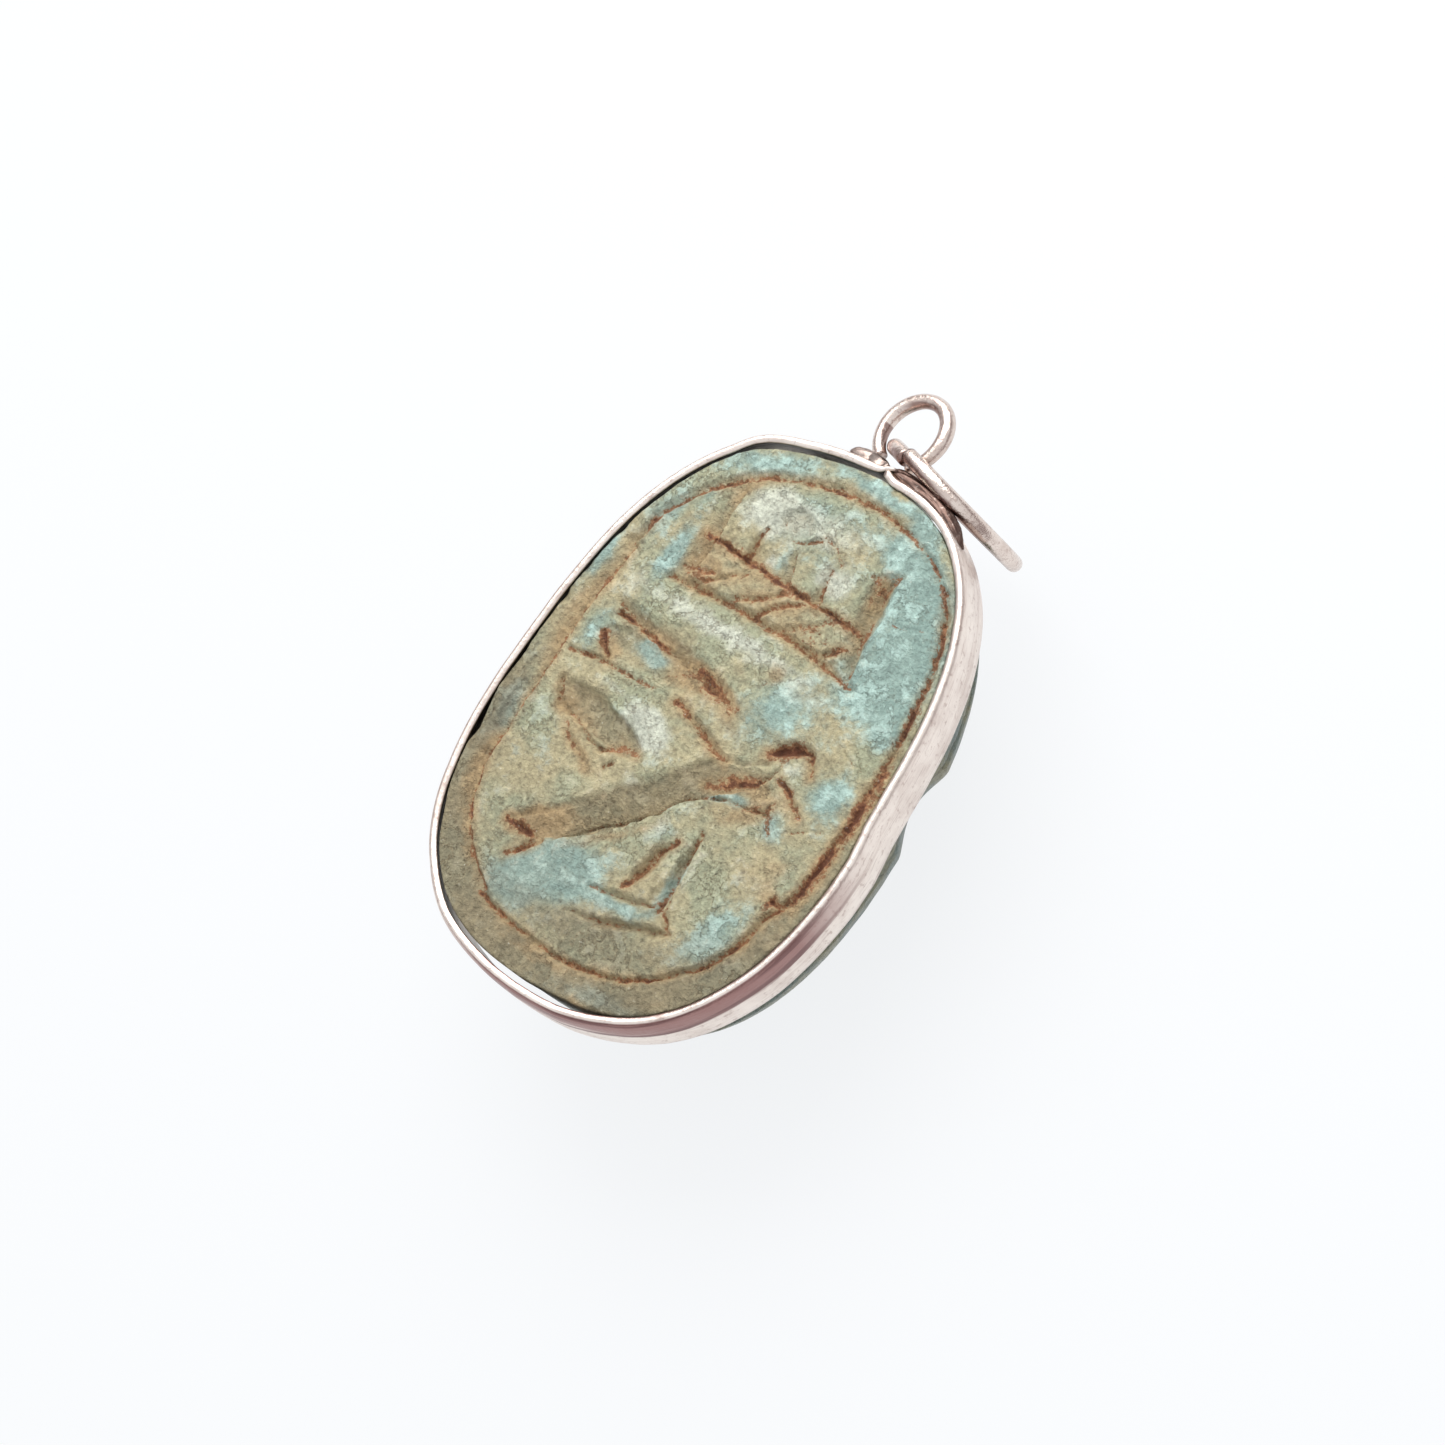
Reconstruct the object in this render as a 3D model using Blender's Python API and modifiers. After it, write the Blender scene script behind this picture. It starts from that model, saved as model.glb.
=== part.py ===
"""Scarab amulet in a silver band, lying on its domed back with the flat carved base up.

Metres, +Z up. The origin is the middle of the small flat on the beetle's back that the amulet
rests on. +Y runs along the amulet, towards the beetle's head and the suspension loop.
"""
import math

import bmesh
import bpy
from mathutils import Matrix, Vector

# Scarab: the oval outline, seen from the carved side
LENGTH = 0.0270
WIDTH = 0.0193
OVAL_POWER = 2.61
OVAL_TAPER = 0.04

# Scarab: the height, the straight side that the band holds, and the domed back
HEIGHT = 0.0102
SIDE_HEIGHT = 0.0024
EDGE_ROUNDING = 0.00014
BACK_POWER = 2.5
HEAD_DROP = 0.14
RESTING_FLAT_SINK = 0.00011

# Border line round the carved base, with the plain margin outside it on each side
BORDER_MARGIN_LEFT = 0.00112
BORDER_MARGIN_RIGHT = 0.00062
BORDER_MARGIN_HEAD = 0.00128
BORDER_MARGIN_TAIL = 0.00142
BORDER_LINE_WIDTH = 0.00054
BORDER_LINE_DEPTH = 0.00020

# Strokes cut in the base: fine lines, wedges and shallow hollows
FINE_WIDTH = 0.00034
FINE_DEPTH = 0.00022
WEDGE_WIDTH = 0.00062
WEDGE_DEPTH = 0.00040
HOLLOW_DEPTH = 0.00026
BIRD_WING_WIDTH = 0.0013
BIRD_LEG_SIDE_WIDTH = 0.0010
BIRD_HEAD_RADIUS = 0.00085
CRESCENT_WIDTH = 0.0019
TALL_WEDGE_WIDTH = 0.0013
STRIP_END_WIDTH = 0.0011
SMALL_HOLLOW_WIDTH = 0.0008
MIDDLE_HOLLOW_WIDTH = 0.0013

# Lines carved in the back and the sides
WAIST_PLACE = 0.0017
WAIST_RADIUS = 0.00036
WAIST_FLARE = 1.6
SEAM_RADIUS = 0.00020
SEAM_START = -0.0016
NECK_PLACE = 0.0074
NECK_BOW = 0.0016
NECK_SPAN = 0.62
CHEEK_START = 0.0013
CHEEK_LENGTH = 0.0036
HEAD_NOTCH_ACROSS = 0.53
HEAD_NOTCH_ALONG = 0.835
HEAD_NOTCH_RADIUS = 0.0020
HEAD_NOTCH_DEPTH = 0.0007
LEG_LINE_DROP = 0.0021
LEG_LINE_RADIUS = 0.00020

# Silver band: one strip round the stone, its upper edge rolled in over the stone's edge
BAND_HEIGHT = 0.00276
BAND_THICKNESS = 0.00030
BAND_BULGE = 0.00009
BAND_FIT = 0.00015
RIM_RISE = 0.00030
RIM_ROLL = 0.00033
BAND_END_GAP = 0.00020

# Suspension loop: round wire, and the solder that its feet stand in
LOOP_WIRE = 0.00072
LOOP_BORE = 0.00280
LOOP_SIDE = 0.00012
LOOP_DROP = 0.0012
LOOP_ROLL = math.radians(14.5)
LOOP_FOOT_LEFT = math.radians(-121)
LOOP_FOOT_RIGHT = math.radians(-59)
SOLDER_REACH = 0.00046
SOLDER_LENGTH_LEFT = 0.00135
SOLDER_LENGTH_RIGHT = 0.00170
SOLDER_HEIGHT = 0.00130
SOLDER_CLEARANCE = 0.00005
LOOP_CLEARANCE = 0.00004

# Jump ring: round wire, closed with a butt joint whose ends stand a little off each other
RING_WIRE = 0.00078
RING_BORE = 0.00668
RING_TURN = math.radians(-14.8)
RING_LEAN = math.radians(4.7)
RING_TOUCH_ON_LOOP = math.radians(-45)
RING_TOUCH_ON_RING = math.radians(110)
RING_CLEARANCE = 0.00006
RING_JOINT = math.radians(112)
RING_JOINT_GAP = 0.00006
RING_JOINT_SHIFT = 0.00016

# How finely round shapes are cut into flats
OVAL_STEPS = 60
BACK_STEPS = 9
BORDER_STEPS = 60
BAND_STEPS = 72
WIRE_STEPS = 2
TINY = 0.0000005

HALF_LENGTH = LENGTH / 2
HALF_WIDTH = WIDTH / 2
SIDE_FOOT = HEIGHT - SIDE_HEIGHT
BAND_OUTSIDE = BAND_FIT + BAND_THICKNESS + BAND_BULGE
LOOP_RADIUS = (LOOP_BORE + LOOP_WIRE) / 2
RING_RADIUS = (RING_BORE + RING_WIRE) / 2


def oval_point(angle, outward=0.0):
    """Point of the stone's outline at a polar angle, moved outward along the outline's normal."""
    def bare(turn):
        across = abs(math.cos(turn)) / HALF_WIDTH
        along = abs(math.sin(turn)) / HALF_LENGTH
        reach = (across ** OVAL_POWER + along ** OVAL_POWER) ** (-1 / OVAL_POWER)
        y = reach * math.sin(turn)
        x = reach * math.cos(turn) * (1 - OVAL_TAPER * y / HALF_LENGTH)
        return Vector((x, y))

    point = bare(angle)
    if outward == 0.0:
        return point
    small = math.radians(0.5)
    run = bare(angle + small) - bare(angle - small)
    normal = Vector((run.y, -run.x)).normalized()
    return point + outward * normal


def back_depth(y):
    """Depth of the back below its side at a place along the amulet; the head end is lower."""
    full = SIDE_FOOT + RESTING_FLAT_SINK
    share = min(1.0, max(0.0, (y - WAIST_PLACE) / (HALF_LENGTH - WAIST_PLACE)))
    return full * (1 - HEAD_DROP * share)


def back_point(angle, share):
    """Point of the domed back: share 0 is the crown and share 1 is the foot of the side."""
    edge = oval_point(angle) * share
    fall = max(0.0, 1 - share ** BACK_POWER) ** (1 / BACK_POWER)
    return Vector((edge.x, edge.y, SIDE_FOOT - back_depth(edge.y) * fall))


def on_back(x, y):
    """Point of the domed back under a place in plan."""
    straight = x / (1 - OVAL_TAPER * y / HALF_LENGTH)
    edge_shares = (abs(straight) / HALF_WIDTH, abs(y) / HALF_LENGTH)
    share = (edge_shares[0] ** OVAL_POWER + edge_shares[1] ** OVAL_POWER) ** (1 / OVAL_POWER)
    fall = max(0.0, 1 - share ** BACK_POWER) ** (1 / BACK_POWER)
    return Vector((x, y, SIDE_FOOT - back_depth(y) * fall))


def back_normal(x, y):
    """Direction straight out of the domed back under a place in plan."""
    step = 0.0002
    across = on_back(x + step, y) - on_back(x - step, y)
    along = on_back(x, y + step) - on_back(x, y - step)
    return along.cross(across).normalized()


def on_side(angle, drop):
    """Point of the back at a polar angle, a given drop below the foot of the straight side."""
    depth_share = drop / SIDE_FOOT
    share = (1 - depth_share ** BACK_POWER) ** (1 / BACK_POWER)
    return back_point(angle, share)


def collection(name):
    made = bpy.data.collections.new(name)
    bpy.context.scene.collection.children.link(made)
    return made


def metal(name, colour, roughness):
    made = bpy.data.materials.new(name)
    made.use_nodes = True
    shader = made.node_tree.nodes["Principled BSDF"]
    shader.inputs["Base Color"].default_value = (*colour, 1.0)
    shader.inputs["Roughness"].default_value = roughness
    shader.inputs["Metallic"].default_value = 1.0
    return made


def glazed_stone():
    made = bpy.data.materials.new("glazed_stone")
    made.use_nodes = True
    shader = made.node_tree.nodes["Principled BSDF"]
    shader.inputs["Base Color"].default_value = (0.36, 0.40, 0.29, 1.0)
    shader.inputs["Roughness"].default_value = 0.6
    return made


def mesh_object(name, bm, home):
    """Object from a bmesh, placed at the origin in a collection."""
    mesh = bpy.data.meshes.new(name)
    bm.to_mesh(mesh)
    bm.free()
    made = bpy.data.objects.new(name, mesh)
    home.objects.link(made)
    return made


def wire(name, points, thickness, home, closed=False, roundness=WIRE_STEPS, end_flare=1.0):
    """Round wire along a row of points, as a curve with a bevel depth, thicker at a flared end."""
    curve = bpy.data.curves.new(name, "CURVE")
    curve.dimensions = "3D"
    curve.bevel_depth = thickness / 2
    curve.bevel_resolution = roundness
    curve.use_fill_caps = True
    spline = curve.splines.new("POLY")
    spline.points.add(len(points) - 1)
    for step, point in enumerate(points):
        off_middle = abs(2 * step / (len(points) - 1) - 1)
        spline.points[step].co = (*point, 1.0)
        spline.points[step].radius = 1 + (end_flare - 1) * off_middle ** 2
    spline.use_cyclic_u = closed
    made = bpy.data.objects.new(name, curve)
    home.objects.link(made)
    return made


def as_mesh(curve_object):
    """Mesh object that takes a curve's place, with its end caps welded on."""
    name = curve_object.name
    home = curve_object.users_collection[0]
    evaluated = curve_object.evaluated_get(bpy.context.evaluated_depsgraph_get())
    mesh = bpy.data.meshes.new_from_object(evaluated)
    bm = bmesh.new()
    bm.from_mesh(mesh)
    bmesh.ops.remove_doubles(bm, verts=bm.verts, dist=TINY)
    bmesh.ops.recalc_face_normals(bm, faces=bm.faces)
    bm.to_mesh(mesh)
    bm.free()
    placed = curve_object.matrix_world.copy()
    bpy.data.objects.remove(curve_object)
    made = bpy.data.objects.new(name, mesh)
    made.matrix_world = placed
    home.objects.link(made)
    return made


def hide_cutters(home):
    for cutter in home.objects:
        cutter.hide_render = True
        cutter.display_type = "WIRE"


def combine(target, cutters, operation):
    """Boolean of an object with every object in a collection."""
    modifier = target.modifiers.new(operation.title(), "BOOLEAN")
    modifier.operation = operation
    modifier.operand_type = "COLLECTION"
    modifier.collection = cutters
    modifier.solver = "EXACT"


def stone_body(home):
    """The scarab before carving: half a sphere drawn out to the back, then a side and the base."""
    bm = bmesh.new()
    bmesh.ops.create_uvsphere(bm, u_segments=OVAL_STEPS, v_segments=2 * BACK_STEPS, radius=1.0)
    upper = [vert for vert in bm.verts if vert.co.z > 0.001]
    bmesh.ops.delete(bm, geom=upper, context="VERTS")
    angles = {}
    for vert in bm.verts:
        angle = math.atan2(vert.co.y, vert.co.x)
        share = min(1.0, math.hypot(vert.co.x, vert.co.y)) ** (2 / BACK_POWER)
        vert.co = back_point(angle, share)
        angles[vert] = angle
    bmesh.ops.bisect_plane(
        bm, geom=bm.verts[:] + bm.edges[:] + bm.faces[:],
        plane_co=(0, 0, 0), plane_no=(0, 0, 1), clear_inner=True)
    sole = [edge for edge in bm.edges if edge.is_boundary and edge.verts[0].co.z < TINY]
    bmesh.ops.contextual_create(bm, geom=sole)
    rim = [edge for edge in bm.edges if edge.is_boundary]
    for height, inset in ((HEIGHT - EDGE_ROUNDING, 0.0), (HEIGHT, EDGE_ROUNDING)):
        grown = bmesh.ops.extrude_edge_only(bm, edges=rim)["geom"]
        for vert in (item for item in grown if isinstance(item, bmesh.types.BMVert)):
            straight = vert.co.x / (1 - OVAL_TAPER * vert.co.y / HALF_LENGTH)
            edge = oval_point(math.atan2(vert.co.y, straight), -inset)
            vert.co = (edge.x, edge.y, height)
        rim = [item for item in grown if isinstance(item, bmesh.types.BMEdge)]
    bmesh.ops.contextual_create(bm, geom=rim)
    bmesh.ops.recalc_face_normals(bm, faces=bm.faces)
    body = mesh_object("scarab", bm, home)
    body.data.shade_smooth()
    body.data.set_sharp_from_angle(angle=math.radians(40))
    return body


def base_place(across, along):
    """Place on the carved base, given as shares of half the amulet's length."""
    return Vector((across * HALF_LENGTH, along * HALF_LENGTH, HEIGHT))


def stroke(start, end, width, depth, home, taper=0.35):
    """Cutter for a chisel stroke with a V section, which narrows from its start to its end."""
    tail = base_place(*start)
    tip = base_place(*end)
    run = tip - tail
    bm = bmesh.new()
    bmesh.ops.create_cone(
        bm, cap_ends=True, segments=4, radius1=1.0, radius2=taper, depth=run.length)
    along_x = Matrix.Rotation(math.radians(90), 4, "Y")
    bmesh.ops.transform(bm, matrix=along_x, verts=bm.verts)
    for vert in bm.verts:
        vert.co.y *= width / 2
        vert.co.z *= depth
    turn = Matrix.Rotation(math.atan2(run.y, run.x), 4, "Z")
    place = Matrix.Translation((tail + tip) / 2)
    bmesh.ops.transform(bm, matrix=place @ turn, verts=bm.verts)
    mesh_object("stroke", bm, home)


def hollow(start, end, width, home, depth=HOLLOW_DEPTH):
    """Cutter for a long shallow hollow with a rounded floor and pointed ends."""
    tail = base_place(*start)
    tip = base_place(*end)
    run = tip - tail
    bm = bmesh.new()
    bmesh.ops.create_uvsphere(bm, u_segments=10, v_segments=6, radius=1.0)
    for vert in bm.verts:
        vert.co = (vert.co.x * run.length / 2, vert.co.y * width / 2, vert.co.z * depth)
    turn = Matrix.Rotation(math.atan2(run.y, run.x), 4, "Z")
    place = Matrix.Translation((tail + tip) / 2)
    bmesh.ops.transform(bm, matrix=place @ turn, verts=bm.verts)
    mesh_object("hollow", bm, home)


def border_line(home):
    """Cutter for the oval line: a round bar whose middle stands a little over the base."""
    radius = BORDER_LINE_WIDTH ** 2 / (8 * BORDER_LINE_DEPTH) + BORDER_LINE_DEPTH / 2
    rise = radius - BORDER_LINE_DEPTH
    half_across = HALF_WIDTH - (BORDER_MARGIN_LEFT + BORDER_MARGIN_RIGHT) / 2
    half_along = HALF_LENGTH - (BORDER_MARGIN_HEAD + BORDER_MARGIN_TAIL) / 2
    middle_x = (BORDER_MARGIN_LEFT - BORDER_MARGIN_RIGHT) / 2
    middle_y = (BORDER_MARGIN_TAIL - BORDER_MARGIN_HEAD) / 2
    points = []
    for step in range(BORDER_STEPS):
        outline = oval_point(2 * math.pi * step / BORDER_STEPS)
        x = middle_x + outline.x * half_across / HALF_WIDTH
        y = middle_y + outline.y * half_along / HALF_LENGTH
        points.append((x, y, HEIGHT + rise))
    as_mesh(wire("border_line", points, 2 * radius, home, closed=True))


def hatched_band(home):
    """Cutters for the hatched strip at the head end, with a row of teeth on its upper edge."""
    left, right = -0.36, 0.38
    lower, upper = 0.36, 0.50
    stroke((right, lower - 0.02), (left, lower + 0.01), WEDGE_WIDTH, WEDGE_DEPTH, home, 0.6)
    stroke((left, upper + 0.01), (right - 0.05, upper), WEDGE_WIDTH, FINE_DEPTH, home, 0.8)
    stroke((left + 0.02, lower), (left - 0.05, upper + 0.08), WEDGE_WIDTH, WEDGE_DEPTH, home)
    stroke((right, lower - 0.02), (right - 0.06, 0.74), TALL_WEDGE_WIDTH, WEDGE_DEPTH, home, 0.7)
    count = 6
    for number in range(count):
        place = left + (right - left) * (number + 0.6) / count
        stroke((place - 0.05, upper - 0.02), (place + 0.05, lower + 0.03),
               FINE_WIDTH, FINE_DEPTH, home, 0.7)
    for place in (-0.19, -0.04, 0.10):
        stroke((place, upper + 0.01), (place - 0.02, upper + 0.15), WEDGE_WIDTH, WEDGE_DEPTH, home)
    hollow((left - 0.01, 0.47), (left, 0.83), STRIP_END_WIDTH, home)
    hollow((-0.17, 0.71), (0.0, 0.69), SMALL_HOLLOW_WIDTH, home)
    stroke((0.05, 0.73), (0.12, 0.68), FINE_WIDTH, FINE_DEPTH, home)


def middle_strokes(home):
    """Cutters for the row of long strokes across the middle, and the crescent under it."""
    stroke((-0.49, 0.23), (-0.12, 0.155), WEDGE_WIDTH, WEDGE_DEPTH, home, 0.6)
    stroke((-0.47, 0.18), (0.12, 0.12), WEDGE_WIDTH, WEDGE_DEPTH, home, 0.7)
    stroke((-0.55, -0.01), (-0.26, 0.015), FINE_WIDTH, FINE_DEPTH, home)
    stroke((-0.47, 0.09), (-0.40, 0.035), WEDGE_WIDTH, FINE_DEPTH, home)
    hollow((-0.46, 0.05), (-0.05, 0.10), MIDDLE_HOLLOW_WIDTH, home)
    stroke((-0.09, 0.03), (0.18, -0.06), FINE_WIDTH, FINE_DEPTH, home)
    hollow((-0.52, -0.14), (-0.09, -0.19), CRESCENT_WIDTH, home, WEDGE_DEPTH)
    stroke((-0.33, -0.26), (-0.22, -0.33), FINE_WIDTH, FINE_DEPTH, home)


def bird(home):
    """Cutters for a plain striding bird: forked tail, folded wing, round head and two legs."""
    hollow((-0.40, -0.62), (-0.01, -0.27), BIRD_WING_WIDTH, home)
    hollow((-0.15, -0.40), (0.34, -0.02), BIRD_WING_WIDTH, home)
    hollow((-0.33, -0.71), (0.18, -0.22), BIRD_LEG_SIDE_WIDTH, home)
    stroke((0.15, -0.22), (-0.23, -0.60), WEDGE_WIDTH, WEDGE_DEPTH, home)
    stroke((0.15, -0.22), (0.43, -0.15), WEDGE_WIDTH, WEDGE_DEPTH, home)
    stroke((0.36, -0.03), (0.17, -0.16), WEDGE_WIDTH, FINE_DEPTH, home)
    stroke((0.41, -0.03), (0.53, -0.10), WEDGE_WIDTH, FINE_DEPTH, home)
    stroke((0.42, -0.13), (0.49, -0.20), WEDGE_WIDTH, FINE_DEPTH, home)
    head = base_place(0.405, 0.035)
    arc = []
    for step in range(9):
        turn = math.radians(-20 + 25 * step)
        arc.append(head + BIRD_HEAD_RADIUS * Vector((math.cos(turn), math.sin(turn), 0)))
    as_mesh(wire("head_line", arc, 1.8 * FINE_DEPTH, home, roundness=1))
    stroke((0.25, -0.34), (0.13, -0.59), WEDGE_WIDTH, WEDGE_DEPTH, home)
    stroke((0.27, -0.31), (0.27, -0.60), WEDGE_WIDTH, WEDGE_DEPTH, home, 0.6)
    stroke((0.24, -0.53), (0.36, -0.66), WEDGE_WIDTH, FINE_DEPTH, home, 0.6)
    stroke((0.28, -0.58), (0.01, -0.64), WEDGE_WIDTH, FINE_DEPTH, home)
    stroke((0.37, -0.65), (-0.01, -0.75), WEDGE_WIDTH, WEDGE_DEPTH, home)


def back_lines(home):
    """Cutters for the back: waist, wing seam up to the worn flat, neck, cheeks and head sides."""
    points = []
    steps = 16
    for step in range(steps + 1):
        x = HALF_WIDTH * math.sin(math.radians(86) * (2 * step / steps - 1))
        points.append(on_back(x, WAIST_PLACE))
    as_mesh(wire("waist", points, 2 * WAIST_RADIUS, home, end_flare=WAIST_FLARE))
    steps = 12
    tail = 0.985 * HALF_LENGTH
    points = [on_back(0.0, SEAM_START - (SEAM_START + tail) * step / steps)
              for step in range(steps + 1)]
    as_mesh(wire("wing_seam", points, 2 * SEAM_RADIUS, home))
    half_span = NECK_SPAN * HALF_WIDTH
    points = []
    for step in range(11):
        share = step / 5 - 1
        points.append(on_back(share * half_span, NECK_PLACE + NECK_BOW * share ** 2))
    as_mesh(wire("neck_line", points, 1.5 * LEG_LINE_RADIUS * 2, home))
    for side in (-1, 1):
        cheek = [on_back(side * (0.20 + 0.10 * step / 3) * HALF_WIDTH,
                         NECK_PLACE + CHEEK_START + CHEEK_LENGTH * step / 3) for step in range(4)]
        as_mesh(wire("cheek", cheek, 2 * SEAM_RADIUS, home))
        place = (side * HEAD_NOTCH_ACROSS * HALF_WIDTH, HEAD_NOTCH_ALONG * HALF_LENGTH)
        lift = HEAD_NOTCH_RADIUS - HEAD_NOTCH_DEPTH
        bm = bmesh.new()
        bmesh.ops.create_uvsphere(bm, u_segments=16, v_segments=10, radius=HEAD_NOTCH_RADIUS)
        centre = on_back(*place) + lift * back_normal(*place)
        bmesh.ops.translate(bm, vec=centre, verts=bm.verts)
        mesh_object("head_notch", bm, home)


def leg_lines(home):
    """Cutters for the legs on the sides: one long line under the body and three slanted ones."""
    for side in (-1, 1):
        points = []
        for step in range(23):
            angle = math.radians(-78 + 145 * step / 22)
            point = on_side(angle, LEG_LINE_DROP)
            points.append((side * point.x, point.y, point.z))
        as_mesh(wire("leg_line", points, 2 * LEG_LINE_RADIUS, home))
        for upper_turn, lower_turn in ((58, 42), (14, 2), (-38, -22)):
            points = []
            for step in range(5):
                share = step / 4
                angle = math.radians(upper_turn + (lower_turn - upper_turn) * share)
                point = on_side(angle, (0.08 + 0.92 * share) * LEG_LINE_DROP)
                points.append((side * point.x, point.y, point.z))
            as_mesh(wire("leg", points, 2 * LEG_LINE_RADIUS, home))


def scarab(home):
    cutters = collection("scarab_cutters")
    body = stone_body(home)
    body.data.materials.append(glazed_stone())
    border_line(cutters)
    hatched_band(cutters)
    middle_strokes(cutters)
    bird(cutters)
    back_lines(cutters)
    leg_lines(cutters)
    hide_cutters(cutters)
    combine(body, cutters, "DIFFERENCE")
    return body


def loop_point(turn):
    """Point on the loop's middle line; the loop lies flat but for a roll about its own length."""
    centre_y = HALF_LENGTH + BAND_OUTSIDE + LOOP_CLEARANCE + LOOP_RADIUS + LOOP_WIRE / 2
    x = LOOP_RADIUS * math.cos(turn)
    y = LOOP_RADIUS * math.sin(turn)
    z = HEIGHT - LOOP_DROP + x * math.sin(LOOP_ROLL)
    return Vector((LOOP_SIDE + x * math.cos(LOOP_ROLL), centre_y + y, z))


def loop_line():
    """The loop's middle line, from the left foot over the top to the right foot."""
    steps = 32
    start = LOOP_FOOT_LEFT
    sweep = LOOP_FOOT_RIGHT - LOOP_FOOT_LEFT - 2 * math.pi
    return [loop_point(start + sweep * step / steps) for step in range(steps + 1)]


def silver_band(home, silver):
    """The strip: an open wall drawn up row by row, thickened, with solder under the loop."""
    bottom = RIM_RISE - BAND_HEIGHT
    flat = BAND_FIT + BAND_THICKNESS
    rows = (
        (bottom, flat + 0.6 * BAND_BULGE),
        (bottom * 0.75, flat + BAND_BULGE),
        (bottom * 0.30, flat + BAND_BULGE),
        (0.15 * RIM_RISE, flat + 0.3 * BAND_BULGE),
        (0.90 * RIM_RISE, flat - 0.35 * RIM_ROLL),
        (RIM_RISE, flat - RIM_ROLL),
    )
    half_gap = BAND_END_GAP / 2 / HALF_LENGTH
    start = math.radians(90) + half_gap
    sweep = 2 * math.pi - 2 * half_gap
    bm = bmesh.new()
    edges = []
    for height, outward in rows:
        turns = [start + sweep * step / BAND_STEPS for step in range(BAND_STEPS + 1)]
        places = [oval_point(turn, outward) for turn in turns]
        if not edges:
            verts = [bm.verts.new((spot.x, spot.y, HEIGHT + height)) for spot in places]
            edges = [bm.edges.new(pair) for pair in zip(verts, verts[1:])]
            continue
        grown = bmesh.ops.extrude_edge_only(bm, edges=edges)["geom"]
        fresh = [item for item in grown if isinstance(item, bmesh.types.BMVert)]
        fresh.sort(key=lambda vert: (math.atan2(vert.co.y, vert.co.x) - start) % (2 * math.pi))
        for vert, spot in zip(fresh, places):
            vert.co = (spot.x, spot.y, HEIGHT + height)
        edges = [item for item in grown if isinstance(item, bmesh.types.BMEdge)]
    bmesh.ops.recalc_face_normals(bm, faces=bm.faces)
    band = mesh_object("silver_band", bm, home)
    band.data.materials.append(silver)
    band.data.shade_smooth()
    wall = band.modifiers.new("Wall", "SOLIDIFY")
    wall.thickness = BAND_THICKNESS
    wall.offset = -1
    wall.use_even_offset = True
    lumps = collection("solder")
    for foot, side, length in ((LOOP_FOOT_LEFT, -1, SOLDER_LENGTH_LEFT),
                               (LOOP_FOOT_RIGHT, 1, SOLDER_LENGTH_RIGHT)):
        seat = loop_point(foot)
        bm = bmesh.new()
        bmesh.ops.create_uvsphere(bm, u_segments=14, v_segments=8, radius=1.0)
        middle_x = side * (BAND_END_GAP + length / 2)
        middle_y = HALF_LENGTH + BAND_OUTSIDE
        for vert in bm.verts:
            vert.co = (middle_x + vert.co.x * length / 2,
                       middle_y + vert.co.y * SOLDER_REACH,
                       seat.z + vert.co.z * SOLDER_HEIGHT / 2)
        mesh_object("solder", bm, lumps)
    combine(band, lumps, "UNION")
    room = collection("loop_room")
    as_mesh(wire("loop_room", loop_line(), LOOP_WIRE + 2 * SOLDER_CLEARANCE, room))
    combine(band, room, "DIFFERENCE")
    hide_cutters(lumps)
    hide_cutters(room)
    return band


def suspension_loop(home, silver):
    loop = as_mesh(wire("suspension_loop", loop_line(), LOOP_WIRE, home))
    loop.data.materials.append(silver)
    loop.data.shade_smooth()
    loop.data.set_sharp_from_angle(angle=math.radians(50))
    return loop


def ring_line():
    """The jump ring's middle line, which hangs on the loop's right side."""
    along = Vector((math.cos(RING_TURN), math.sin(RING_TURN), 0))
    up = Matrix.Rotation(RING_LEAN, 3, along) @ Vector((0, 0, 1))
    sideways = along.cross(up)
    reach = ((LOOP_WIRE + RING_WIRE) / 2 + RING_CLEARANCE) / math.sin(RING_TOUCH_ON_RING)
    touch = loop_point(RING_TOUCH_ON_LOOP) + reach * up
    outward = math.cos(RING_TOUCH_ON_RING) * along + math.sin(RING_TOUCH_ON_RING) * up
    centre = touch - RING_RADIUS * outward
    steps = 48
    half_gap = RING_JOINT_GAP / 2 / RING_RADIUS
    points = []
    for step in range(steps + 1):
        turn = RING_JOINT + half_gap + (2 * math.pi - 2 * half_gap) * step / steps
        shift = RING_JOINT_SHIFT * (0.5 - step / steps)
        spoke = math.cos(turn) * along + math.sin(turn) * up
        points.append(centre + RING_RADIUS * spoke + shift * sideways)
    return points


def jump_ring(home, silver):
    ring = as_mesh(wire("jump_ring", ring_line(), RING_WIRE, home))
    ring.data.materials.append(silver)
    ring.data.shade_smooth()
    ring.data.set_sharp_from_angle(angle=math.radians(50))
    return ring


for leftover in list(bpy.data.objects):
    bpy.data.objects.remove(leftover)

parts = collection("scarab_amulet")
band_silver = metal("satin_silver", (0.80, 0.74, 0.70), 0.34)
wire_silver = metal("wire_silver", (0.82, 0.76, 0.72), 0.28)
scarab(parts)
silver_band(parts, band_silver)
suspension_loop(parts, wire_silver)
jump_ring(parts, wire_silver)
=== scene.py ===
import math
import random

import bmesh
import bpy
import numpy as np
from mathutils import Matrix, Vector, noise


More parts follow.
